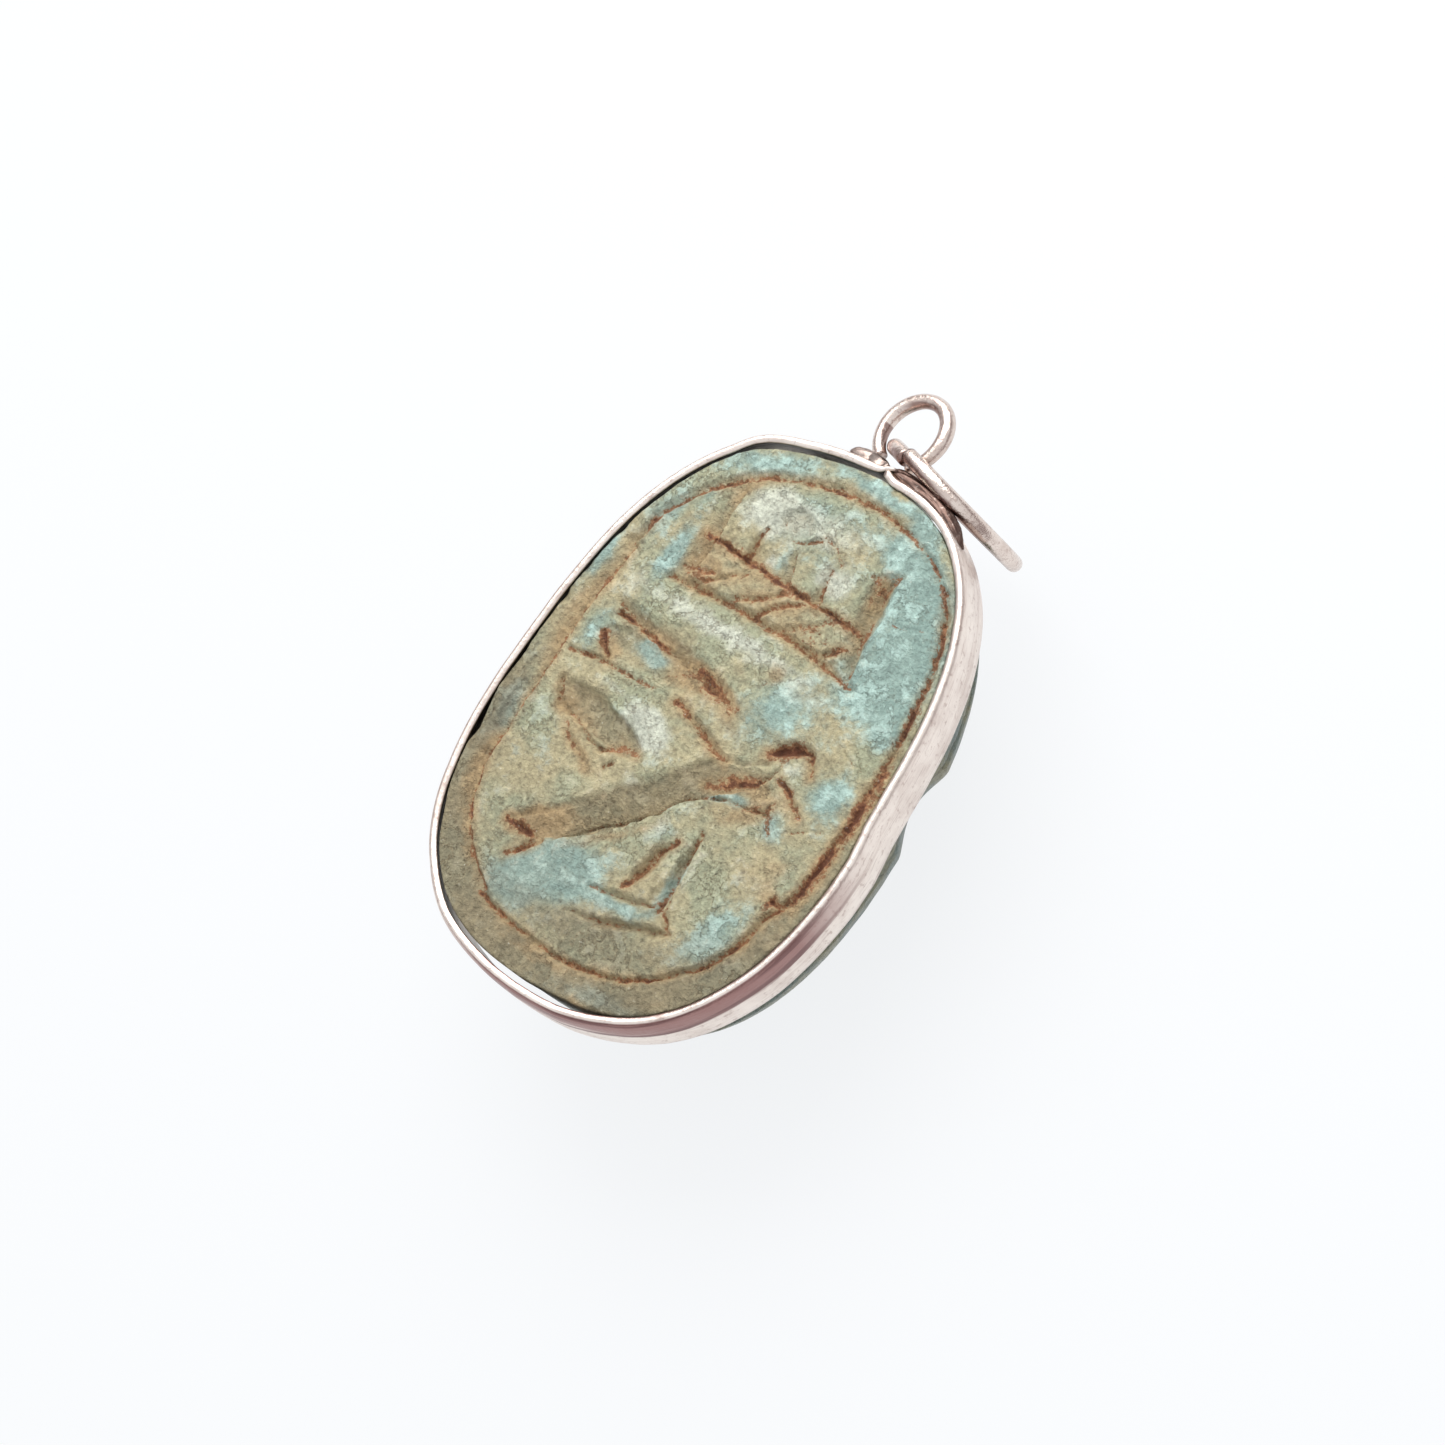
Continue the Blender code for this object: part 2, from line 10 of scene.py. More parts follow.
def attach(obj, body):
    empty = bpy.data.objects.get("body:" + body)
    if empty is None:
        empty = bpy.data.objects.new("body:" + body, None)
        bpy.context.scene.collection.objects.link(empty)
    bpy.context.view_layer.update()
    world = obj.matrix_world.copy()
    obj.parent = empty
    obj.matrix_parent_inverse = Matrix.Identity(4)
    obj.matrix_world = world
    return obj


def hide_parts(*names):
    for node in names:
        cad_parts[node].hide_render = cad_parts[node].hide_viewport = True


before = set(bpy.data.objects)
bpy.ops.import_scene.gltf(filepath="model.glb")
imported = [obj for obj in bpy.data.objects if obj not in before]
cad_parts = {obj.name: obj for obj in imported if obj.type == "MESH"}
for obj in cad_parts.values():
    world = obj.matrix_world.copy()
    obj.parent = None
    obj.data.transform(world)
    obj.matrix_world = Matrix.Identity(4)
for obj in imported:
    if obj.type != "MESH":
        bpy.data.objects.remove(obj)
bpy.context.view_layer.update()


# Camera, table and light.
# The amulet lies on a white table in plain soft light, seen from above on its right, with the
# head end to the upper right of the picture.
CAMERA_PLACE = (0.07705, -0.01625, 0.14215)
CAMERA_SIDE = math.radians(77.53)
CAMERA_TILT = math.radians(30.49)
CAMERA_ROLL = math.radians(-44.40)
lens_turn = (Matrix.Rotation(CAMERA_SIDE, 3, "Z") @ Matrix.Rotation(CAMERA_TILT, 3, "X")
             @ Matrix.Rotation(CAMERA_ROLL, 3, "Z"))
bpy.ops.object.camera_add(location=CAMERA_PLACE, rotation=lens_turn.to_euler())
camera = bpy.context.object
camera.data.lens = 87.2
camera.data.sensor_width = 36
camera.data.clip_start = 0.005
camera.data.dof.use_dof = False
bpy.context.scene.camera = camera
bpy.context.scene.view_settings.view_transform = "Standard"

bpy.ops.mesh.primitive_plane_add(size=1.6, location=(0, 0, 0))
table = bpy.context.object
table.name = "table"
table_white = bpy.data.materials.new("table_white")
table_white.use_nodes = True
table_shader = table_white.node_tree.nodes["Principled BSDF"]
table_shader.inputs["Base Color"].default_value = (0.075, 0.077, 0.08, 1)
table_shader.inputs["Roughness"].default_value = 0.7
table_shader.inputs["Emission Color"].default_value = (0.97, 0.985, 1.0, 1)
table_shader.inputs["Emission Strength"].default_value = 0.85
table.data.materials.append(table_white)

window_place = Vector((-0.09, 0.16, 0.18))
bpy.ops.object.light_add(type="AREA", location=window_place)
window_light = bpy.context.object
window_light.data.size = 0.24
window_light.data.energy = 0.74
window_light.data.color = (1.0, 0.985, 0.96)
window_light.rotation_euler = window_place.to_track_quat("Z", "Y").to_euler()

room = bpy.data.worlds.new("room")
bpy.context.scene.world = room
room.use_nodes = True
room_nodes = room.node_tree.nodes
room_light = room_nodes["Background"]
room_light.inputs["Strength"].default_value = 0.92
room_height = room_nodes.new("ShaderNodeSeparateXYZ")
room_wall = room_nodes.new("ShaderNodeValToRGB")
room_wall.color_ramp.elements[0].position = 0.12
room_wall.color_ramp.elements[0].color = (0.20, 0.13, 0.125, 1)
room_wall.color_ramp.elements[1].position = 0.50
room_wall.color_ramp.elements[1].color = (0.97, 0.98, 1.0, 1)
room_way = room_nodes.new("ShaderNodeTexCoord")
room.node_tree.links.new(room_way.outputs["Generated"], room_height.inputs[0])
room.node_tree.links.new(room_height.outputs["Z"], room_wall.inputs["Fac"])
room.node_tree.links.new(room_wall.outputs["Color"], room_light.inputs["Color"])
backdrop = room_nodes.new("ShaderNodeBackground")
backdrop.inputs["Color"].default_value = (0.93, 0.94, 0.95, 1)
seen = room_nodes.new("ShaderNodeLightPath")
room_mix = room_nodes.new("ShaderNodeMixShader")
room.node_tree.links.new(seen.outputs["Is Camera Ray"], room_mix.inputs[0])
room.node_tree.links.new(room_light.outputs[0], room_mix.inputs[1])
room.node_tree.links.new(backdrop.outputs[0], room_mix.inputs[2])
room.node_tree.links.new(room_mix.outputs[0], room_nodes["World Output"].inputs["Surface"])


# Scarab.
# One piece of beige-green stone under a worn turquoise glaze: a flat base with strokes cut in it
# inside an oval line, and a beetle's back under it. Rust-brown dirt is caught in the cuts.
HALF_LENGTH = 0.0135
HALF_WIDTH = 0.00965
OVAL_POWER = 2.61
OVAL_TAPER = 0.04
STONE_TOP = 0.0102
SIDE_FOOT = 0.0078
BACK_POWER = 2.5
HEAD_DROP = 0.14
WAIST_PLACE = 0.0017
NECK_PLACE = 0.0074
NECK_BOW = 0.0016
CHEEK_START = 0.0013
CHEEK_LENGTH = 0.0036
LEG_LINE_DROP = 0.0021
RESTING_FLAT_SINK = 0.00011
MM = 0.001


def oval(turn, outward=0.0):
    """Points of the stone's outline at polar angles, moved outward along its normal."""
    def bare(angle):
        across = np.abs(np.cos(angle)) / HALF_WIDTH
        along = np.abs(np.sin(angle)) / HALF_LENGTH
        reach = (across ** OVAL_POWER + along ** OVAL_POWER) ** (-1 / OVAL_POWER)
        y = reach * np.sin(angle)
        return np.stack([reach * np.cos(angle) * (1 - OVAL_TAPER * y / HALF_LENGTH), y], -1)

    run = bare(turn + 0.01) - bare(turn - 0.01)
    normal = np.stack([run[..., 1], -run[..., 0]], -1)
    normal /= np.linalg.norm(normal, axis=-1, keepdims=True)
    return bare(turn) + np.asarray(outward)[..., None] * normal


def speckle(places, size, seed):
    """Smooth noise from about -1 to 1 at places in metres, with spots of a size in millimetres."""
    shift = Vector((seed * 7.31, seed * 3.17, seed * 5.53))
    scale = 1 / (size * MM)
    return np.array([noise.noise(Vector(place) * scale + shift) for place in places])


def hand_edge(turn):
    """How far the worn stone stands in or out of a true oval, in metres."""
    marks = ((-180, -0.20), (-175, -0.20), (-170, -0.28), (-165, -0.20), (-160, -0.18),
             (-155, -0.28), (-150, -0.38), (-145, -0.16), (-140, -0.13), (-130, -0.15),
             (-120, -0.07), (-110, 0.02), (-100, 0.08), (-90, 0.10), (-85, 0.0), (-80, -0.02),
             (-75, 0.03), (-70, 0.10), (-60, 0.15), (-50, 0.20), (-40, 0.30), (-30, 0.35),
             (-20, 0.37), (-10, 0.31), (0, 0.10), (10, 0.02), (20, 0.0), (40, 0.0), (50, 0.01),
             (60, 0.03), (70, 0.05), (80, -0.03), (87, -0.04), (93, -0.14), (100, -0.31),
             (105, -0.28), (110, -0.22), (115, -0.10), (120, -0.08), (130, -0.19), (140, -0.20),
             (150, -0.18), (160, -0.17), (170, -0.17), (180, -0.20))
    spots = np.degrees(turn)
    return np.interp(spots, [mark[0] for mark in marks], [mark[1] for mark in marks]) * MM


def grid_on_oval(name, across, along):
    """A flat grid whose square is drawn out to a unit disc, as an object, with its disc places."""
    bpy.ops.object.select_all(action="DESELECT")
    bpy.ops.mesh.primitive_grid_add(x_subdivisions=across, y_subdivisions=along, size=2)
    made = bpy.context.object
    made.name = name
    square = np.array([vert.co[:2] for vert in made.data.vertices])
    disc = square * np.sqrt(1 - square[:, ::-1] ** 2 / 2)
    return made, disc


def put(piece, places):
    piece.data.vertices.foreach_set("co", np.asarray(places, np.float32).ravel())
    piece.data.update()


def places_of(piece):
    return np.array([vert.co for vert in piece.data.vertices])


def normals_of(piece):
    normals = np.zeros(len(piece.data.vertices) * 3, np.float32)
    piece.data.vertices.foreach_get("normal", normals)
    return normals.reshape(-1, 3)


def paint(piece, name, values):
    """Keeps one value for each vertex in a named layer, which the piece's material reads."""
    layer = piece.data.attributes.new(name, "FLOAT", "POINT")
    layer.data.foreach_set("value", np.asarray(values, np.float32))


def join(pieces):
    """Joins pieces into the last of them."""
    bpy.ops.object.select_all(action="DESELECT")
    for piece in pieces:
        piece.select_set(True)
    bpy.context.view_layer.objects.active = pieces[-1]
    bpy.ops.object.join()


# The cuts in the base, which follow the marks seen in the photo. Places are shares of half the
# length; widths and depths are millimetres. Each has its points, its width and depth at them, how
# far its deepest line leans to the right of its run (-1 to 1), and how much rust it holds.
border = [(0.00, 0.905), (0.10, 0.905), (0.20, 0.895), (0.28, 0.878), (0.35, 0.852),
          (0.42, 0.815), (0.49, 0.765), (0.545, 0.70), (0.59, 0.61), (0.62, 0.51), (0.645, 0.40),
          (0.66, 0.30), (0.67, 0.20), (0.68, 0.10), (0.685, 0.0), (0.685, -0.10), (0.68, -0.20),
          (0.672, -0.30), (0.655, -0.36), (0.625, -0.42), (0.612, -0.50), (0.59, -0.57),
          (0.56, -0.63), (0.52, -0.68), (0.46, -0.735), (0.40, -0.79), (0.33, -0.833),
          (0.25, -0.862), (0.15, -0.882), (0.05, -0.892), (-0.05, -0.89), (-0.15, -0.88),
          (-0.25, -0.862), (-0.30, -0.848), (-0.37, -0.815), (-0.43, -0.77), (-0.49, -0.715),
          (-0.54, -0.65), (-0.573, -0.58), (-0.597, -0.50), (-0.608, -0.40), (-0.613, -0.30),
          (-0.613, -0.20), (-0.618, -0.10), (-0.622, 0.0), (-0.622, 0.10), (-0.622, 0.20),
          (-0.617, 0.30), (-0.60, 0.40), (-0.582, 0.50), (-0.55, 0.58), (-0.51, 0.65),
          (-0.465, 0.70), (-0.42, 0.745), (-0.37, 0.79), (-0.30, 0.83), (-0.22, 0.86),
          (-0.12, 0.887), (0.0, 0.905)]
cuts = [
    # The oval line, broad on its outer side at the left
    (border[:7], 0.50, 0.16, -0.1, 0.9),
    (border[6:18], 0.46, 0.20, 0.2, 1.0),
    (border[17:24], 0.52, 0.22, 0.1, 1.0),
    (border[23:34], 0.44, 0.20, 0.1, 0.8),
    (border[33:41], 0.85, 0.22, 0.75, 0.95),
    (border[40:49], 0.95, 0.22, 0.8, 0.85),
    (border[48:], 0.62, 0.18, 0.3, 0.95),
    ([(0.60, -0.365), (0.635, -0.37)], 0.40, 0.22, 0.0, 1.0),
    # The hatched strip
    ([(-0.40, 0.378), (-0.15, 0.387), (0.10, 0.387), (0.25, 0.372), (0.40, 0.345)],
     [0.75, 0.62, 0.6, 0.6, 0.5], [0.30, 0.26, 0.24, 0.28, 0.2], 0.1, 0.7),
    ([(-0.38, 0.555), (-0.20, 0.547), (-0.10, 0.535), (0.02, 0.53), (0.20, 0.522), (0.31, 0.515)],
     [0.35, 0.30, 0.30, 0.36, 0.36, 0.3], 0.20, 0.0, 1.0),
    ([(-0.365, 0.82), (-0.37, 0.74), (-0.375, 0.66), (-0.39, 0.58), (-0.395, 0.49),
      (-0.39, 0.42), (-0.36, 0.37)],
     [0.4, 0.8, 1.1, 1.7, 1.9, 1.5, 0.6], [0.12, 0.2, 0.26, 0.36, 0.40, 0.34, 0.2], -0.8, 0.35),
    ([(0.325, 0.745), (0.29, 0.68), (0.305, 0.60), (0.325, 0.50), (0.345, 0.41), (0.365, 0.35)],
     [0.5, 1.5, 1.6, 1.1, 0.9, 0.6], [0.2, 0.42, 0.46, 0.42, 0.36, 0.2], -0.25, 0.6),
    ([(0.235, 0.705), (0.33, 0.75)], [0.3, 0.4], [0.12, 0.22], 0.3, 0.3),
    ([(-0.19, 0.665), (-0.185, 0.61), (-0.175, 0.545)], [0.3, 0.8, 1.1], [0.1, 0.26, 0.34],
     0.45, 0.6),
    ([(-0.060, 0.655), (-0.057, 0.60), (-0.045, 0.54)], [0.3, 0.9, 1.3], [0.1, 0.28, 0.34],
     -0.7, 0.45),
    ([(0.10, 0.655), (0.102, 0.60), (0.108, 0.53)], [0.25, 0.6, 0.9], [0.1, 0.24, 0.3], -0.5, 0.7),
    ([(-0.28, 0.405), (-0.16, 0.505)], 0.45, [0.16, 0.10], 0.0, 0.4),
    ([(-0.15, 0.40), (-0.06, 0.455), (0.03, 0.525)], 0.42, [0.18, 0.14, 0.10], 0.0, 0.6),
    ([(-0.04, 0.395), (0.0, 0.45), (0.09, 0.51)], 0.42, [0.18, 0.16, 0.10], 0.0, 0.6),
    ([(0.07, 0.395), (0.22, 0.505)], 0.40, [0.14, 0.06], 0.0, 0.4),
    ([(0.19, 0.375), (0.25, 0.39), (0.31, 0.45)], 0.45, [0.16, 0.20, 0.10], 0.0, 0.7),
    ([(-0.36, 0.44), (-0.31, 0.43), (-0.27, 0.45)], 0.55, 0.14, 0.0, 0.8),
    ([(-0.15, 0.712), (-0.10, 0.682), (-0.04, 0.693), (0.0, 0.722)], 0.36, 0.14, 0.3, 0.6),
    ([(0.015, 0.738), (0.07, 0.722), (0.12, 0.68)], 0.30, 0.10, 0.0, 0.6),
    # The row across the middle
    ([(-0.50, 0.225), (-0.35, 0.192), (-0.19, 0.170), (-0.10, 0.158), (0.0, 0.128),
      (0.11, 0.112)], [0.5, 1.0, 1.1, 1.0, 0.9, 0.3], [0.2, 0.36, 0.40, 0.36, 0.30, 0.1],
     0.75, 0.5),
    ([(-0.475, 0.183), (-0.40, 0.172), (-0.33, 0.163), (-0.26, 0.155)], 0.42, 0.26, 0.0, 1.0),
    ([(-0.11, 0.152), (-0.06, 0.148), (0.0, 0.13), (0.05, 0.108), (0.09, 0.085)],
     0.45, [0.16, 0.2, 0.2, 0.2, 0.1], 0.0, 0.9),
    ([(-0.555, -0.005), (-0.48, 0.0), (-0.42, 0.01), (-0.30, 0.012), (-0.20, 0.02)],
     [0.3, 0.4, 0.34, 0.26, 0.2], [0.12, 0.2, 0.16, 0.10, 0.05], 0.1, 0.6),
    ([(-0.485, 0.095), (-0.45, 0.06), (-0.415, 0.035)], [0.4, 0.55, 0.4], 0.22, 0.2, 1.0),
    ([(-0.10, 0.02), (-0.02, 0.005), (0.05, -0.02), (0.12, -0.045), (0.175, -0.062)],
     [0.3, 0.5, 0.7, 0.6, 0.4], [0.1, 0.2, 0.28, 0.26, 0.12], 0.4, 1.0),
    ([(-0.18, 0.085), (-0.12, 0.12), (-0.04, 0.14)], 0.35, 0.10, 0.0, 0.6),
    # The crescent under it
    ([(-0.51, -0.105), (-0.485, -0.155), (-0.46, -0.182), (-0.40, -0.19), (-0.34, -0.205)],
     [0.4, 0.5, 0.6, 0.5, 0.4], [0.15, 0.22, 0.26, 0.24, 0.2], 0.2, 0.8),
    ([(-0.34, -0.205), (-0.29, -0.24), (-0.23, -0.245), (-0.19, -0.22), (-0.18, -0.20),
      (-0.10, -0.20)], [0.4, 0.45, 0.45, 0.4, 0.35, 0.25], [0.22, 0.24, 0.24, 0.22, 0.16, 0.1],
     0.1, 0.6),
    ([(-0.40, -0.225), (-0.35, -0.275), (-0.29, -0.30), (-0.24, -0.33)], 0.5,
     [0.06, 0.12, 0.12, 0.06], 0.0, 0.5),
    ([(-0.185, -0.29), (-0.165, -0.262)], 0.3, 0.14, 0.0, 0.5),
    # The bird
    ([(-0.38, -0.592), (-0.30, -0.602), (-0.23, -0.60)], [0.3, 0.5, 0.5], [0.1, 0.26, 0.3],
     0.3, 0.9),
    ([(-0.235, -0.605), (-0.265, -0.65), (-0.30, -0.70)], [0.5, 0.5, 0.3], [0.3, 0.26, 0.1],
     0.0, 1.0),
    ([(-0.28, -0.585), (-0.17, -0.48), (-0.09, -0.405), (0.0, -0.30), (0.068, -0.222),
      (0.174, -0.124), (0.31, -0.06)], [1.2, 1.9, 2.1, 2.1, 2.0, 1.7, 1.1],
     [0.24, 0.42, 0.52, 0.52, 0.48, 0.4, 0.3], 0.75, 0.10),
    ([(-0.37, -0.585), (-0.144, -0.389), (0.038, -0.192), (0.159, -0.071), (0.31, 0.012)],
     0.5, 0.16, 0.5, 0.15),
    ([(-0.19, -0.57), (-0.10, -0.48), (0.0, -0.382), (0.08, -0.30), (0.12, -0.245),
      (0.17, -0.20), (0.25, -0.17), (0.33, -0.155), (0.415, -0.145)],
     [0.3, 0.34, 0.36, 0.36, 0.40, 0.42, 0.40, 0.36, 0.3],
     [0.44, 0.60, 0.64, 0.64, 0.60, 0.5, 0.36, 0.26, 0.16], 0.0, 0.35),
    ([(0.335, -0.062), (0.27, -0.10), (0.20, -0.143), (0.165, -0.16)], [0.4, 0.6, 0.6, 0.4],
     [0.16, 0.30, 0.30, 0.2], 0.2, 1.0),
    ([(0.355, 0.035), (0.352, -0.01), (0.335, -0.06)], 0.30, 0.14, 0.0, 0.4),
    ([(0.285, 0.028), (0.32, 0.055), (0.36, 0.088), (0.41, 0.102), (0.45, 0.072), (0.475, 0.03)],
     [0.3, 0.7, 0.85, 0.6, 0.45, 0.3], [0.12, 0.34, 0.38, 0.28, 0.2, 0.1], 0.1, 1.2),
    ([(0.385, -0.03), (0.43, -0.045), (0.47, -0.072), (0.515, -0.097)], [0.3, 0.5, 0.4, 0.2],
     [0.12, 0.2, 0.16, 0.08], 0.0, 0.9),
    ([(0.41, -0.10), (0.425, -0.16), (0.475, -0.215)], 0.26, 0.10, 0.0, 0.5),
    ([(0.20, -0.365), (0.172, -0.43), (0.152, -0.52), (0.132, -0.58)], [0.3, 0.7, 0.7, 0.3],
     [0.12, 0.32, 0.32, 0.12], 0.2, 0.9),
    ([(0.262, -0.305), (0.265, -0.40), (0.272, -0.50), (0.28, -0.60)], [0.35, 0.6, 0.65, 0.5],
     [0.16, 0.36, 0.38, 0.3], -0.1, 0.55),
    ([(0.29, -0.45), (0.30, -0.54), (0.32, -0.60)], 0.26, 0.12, 0.0, 0.3),
    ([(0.26, -0.585), (0.20, -0.60), (0.10, -0.625), (0.02, -0.636)], [0.4, 0.5, 0.44, 0.24],
     [0.22, 0.24, 0.2, 0.1], 0.0, 0.4),
    ([(0.365, -0.635), (0.30, -0.662), (0.20, -0.695), (0.10, -0.728), (0.0, -0.747)],
     [0.4, 0.55, 0.6, 0.5, 0.2], [0.2, 0.28, 0.28, 0.22, 0.08], 0.2, 0.5),
    ([(0.27, -0.565), (0.33, -0.60), (0.365, -0.637)], [0.5, 0.4, 0.3], 0.22, 0.0, 0.6),
    # Stray nicks
    ([(0.50, 0.172), (0.53, 0.152), (0.57, 0.132), (0.62, 0.142)], 0.22, 0.08, 0.0, 0.35),
    ([(0.40, 0.59), (0.47, 0.605), (0.51, 0.63)], 0.26, 0.04, 0.0, 0.35),
    ([(0.52, -0.155), (0.57, -0.12), (0.62, -0.095)], 0.3, 0.06, 0.0, 0.4),
    ([(0.06, 0.235), (0.13, 0.215), (0.17, 0.26)], 0.4, 0.05, 0.0, 0.4),
]
# Shallow sunk places: middle, half-lengths, turn in degrees and depth in millimetres.
dips = [
    (-0.105, 0.735, 0.070, 0.045, 0, 0.22), (-0.29, -0.160, 0.20, 0.055, -12, 0.30),
    (-0.27, 0.095, 0.21, 0.055, -3, 0.20),
    (0.30, -0.12, 0.10, 0.045, 22, 0.16), (0.20, 0.04, 0.16, 0.05, -10, 0.08),
    (0.11, 0.58, 0.07, 0.05, 0, 0.06), (-0.11, 0.575, 0.05, 0.04, 0, 0.10),
    (0.27, -0.55, 0.04, 0.05, 0, 0.12), (0.14, 0.77, 0.12, 0.04, -20, 0.06),
]
# All cuts are cut deeper by this factor than their own depths say.
CUT_DEEPENING = 1.3


def patch_square(x, y, patch):
    """Squared distance from the middle of a turned oval patch, whose edge is at 1."""
    middle_x, middle_y, reach_x, reach_y, angle = patch
    c, s = math.cos(math.radians(angle)), math.sin(math.radians(angle))
    u = ((x - middle_x) * c + (y - middle_y) * s) / reach_x
    v = (-(x - middle_x) * s + (y - middle_y) * c) / reach_y
    return u ** 2 + v ** 2


def at_points(value, count):
    """A cut's width or depth at each of its points, from one value or a row of them."""
    if np.isscalar(value):
        return np.full(count, value)
    return np.interp(np.linspace(0, 1, count), np.linspace(0, 1, len(value)), value)


def carve(places):
    """Depth of the cuts, in metres, and the rust in and round them, at places on the base."""
    worn = places.copy()
    for size, sway, seed in ((1.1, 0.10, 3), (0.35, 0.075, 5)):
        for axis in (0, 1):
            worn[:, axis] += speckle(places, size, seed + axis) * sway * MM
    x, y = worn[:, 0] / HALF_LENGTH, worn[:, 1] / HALF_LENGTH
    depth = np.zeros(len(places))
    rust = np.zeros(len(places))
    halo = np.zeros(len(places))
    share = HALF_LENGTH / MM
    for *patch, deep in dips:
        bowl = np.clip(1.25 - patch_square(x, y, patch), 0, 1)
        depth = np.maximum(depth, deep * bowl * (2 - bowl))
    for points, width, deep, lean, stain in cuts:
        widths = at_points(width, len(points))
        deeps = at_points(deep, len(points))
        for step in range(len(points) - 1):
            ax, ay = points[step]
            bx, by = points[step + 1]
            length = math.hypot(bx - ax, by - ay)
            tx, ty = (bx - ax) / length, (by - ay) / length
            run = (x - ax) * tx + (y - ay) * ty
            near = np.clip(run / length, 0, 1)
            right = ((x - ax) * ty - (y - ay) * tx) * share
            beyond = np.abs(run - near * length) * share
            half = (widths[step] + (widths[step + 1] - widths[step]) * near) / 2
            floor = deeps[step] + (deeps[step + 1] - deeps[step]) * near
            side = np.where(right > lean * half, half * (1 - lean), half * (1 + lean))
            off = np.hypot(np.abs(right - lean * half) / side, beyond / np.minimum(half, 0.3))
            fall = np.clip(1 - off, 0, 1)
            depth = np.maximum(depth, floor * np.minimum(1.0, fall * (1.18 - 0.18 * fall)))
            line = np.hypot(right - lean * half, beyond)
            rust = np.maximum(rust, stain * (0.65 * np.exp(-(line / 0.09) ** 2)
                                             + 0.35 * np.exp(-(line / 0.22) ** 2)))
            halo = np.maximum(halo, stain * np.exp(-(line / 0.50) ** 2))
    return CUT_DEEPENING * depth * MM, rust, halo


base_face, disc = grid_on_oval("carved_scarab", 236, 316)
reach = np.hypot(disc[:, 0], disc[:, 1])
turn = np.arctan2(disc[:, 1] * HALF_LENGTH, disc[:, 0] * HALF_WIDTH)
edge = oval(turn, hand_edge(turn))
flat = np.column_stack([edge * reach[:, None], np.zeros(len(reach))])
depth, rust, halo = carve(flat)
to_edge = (1 - reach) * np.linalg.norm(edge, axis=1)
worn_edge = (0.10 + 0.07 * speckle(flat, 1.6, 11)) * MM
inside = np.clip(1 - to_edge / worn_edge, 0, 1)
chips = np.clip(speckle(flat, 0.9, 12) - 0.25, 0, 1) * np.clip(1 - to_edge / (0.7 * MM), 0, 1)
height = -depth - worn_edge * 0.6 * (1 - np.sqrt(1 - inside ** 2)) - 0.35 * MM * chips
for size, rise, seed in ((4.0, 0.045, 13), (1.3, 0.050, 14), (0.55, 0.038, 15), (0.27, 0.024, 16)):
    height += rise * MM * speckle(flat, size, seed)
pits = np.zeros(len(flat))
dice = random.Random(7)
PIT_COUNT = 150
PIT_DEPTH = 0.09 * MM
for number in range(PIT_COUNT):
    spot_turn = dice.uniform(-math.pi, math.pi)
    spot = oval(np.array([spot_turn]))[0] * math.sqrt(dice.random()) * 0.97
    size = dice.uniform(0.05, 0.13) * MM
    near = np.hypot(flat[:, 0] - spot[0], flat[:, 1] - spot[1]) / size
    pits = np.maximum(pits, np.clip(1.2 - near, 0, 1) * dice.uniform(0.3, 1.0))
height -= pits * PIT_DEPTH
put(base_face, np.column_stack([flat[:, :2], STONE_TOP + height]))

# Soft patches of colour over the base: middle, half-lengths, turn in degrees and strength.
glaze_patches = [
    (-0.30, 0.88, 0.20, 0.05, 25, 0.8), (0.12, 0.955, 0.25, 0.03, -5, 0.9),
    (0.35, 0.86, 0.12, 0.05, -40, 1.1), (0.45, 0.72, 0.10, 0.10, 0, 0.9),
    (0.50, 0.52, 0.13, 0.15, 0, 1.2), (0.49, 0.35, 0.16, 0.09, 10, 1.1),
    (0.60, 0.27, 0.05, 0.06, 0, 0.8), (0.25, 0.17, 0.13, 0.11, 0, 0.85),
    (0.57, 0.0, 0.08, 0.09, 0, 1.0), (-0.55, 0.55, 0.05, 0.13, -20, 0.8),
    (-0.665, 0.33, 0.03, 0.10, 0, 1.0), (-0.52, 0.10, 0.05, 0.10, 0, 0.6),
    (-0.12, -0.66, 0.17, 0.09, 25, 1.6), (-0.22, -0.79, 0.15, 0.06, -15, 0.8),
    (0.50, -0.57, 0.08, 0.12, -20, 0.9), (-0.28, 0.12, 0.07, 0.03, -5, 1.5),
    (-0.44, 0.46, 0.03, 0.13, 0, 1.0), (0.348, 0.58, 0.03, 0.12, 5, 1.0),
    (-0.10, 0.74, 0.11, 0.06, 0, 0.9), (-0.07, 0.58, 0.04, 0.04, 0, 0.6),
    (0.26, -0.165, 0.09, 0.02, 15, 1.2), (0.27, -0.50, 0.022, 0.10, 0, 1.2),
    (0.15, -0.645, 0.12, 0.025, 10, 0.9), (0.15, -0.36, 0.05, 0.05, 0, 0.4),
    (0.30, -0.93, 0.18, 0.03, 10, 0.8), (-0.635, -0.28, 0.04, 0.11, 0, 1.0),
    (0.45, -0.16, 0.04, 0.06, 40, 0.8), (-0.45, 0.68, 0.03, 0.06, 0, 0.5),
    (0.0, 0.82, 0.25, 0.05, 0, 0.45), (-0.02, 0.66, 0.25, 0.05, 0, 0.35),
    (0.53, 0.62, 0.09, 0.15, 0, 1.0), (0.33, 0.78, 0.12, 0.06, -35, 1.4),
]
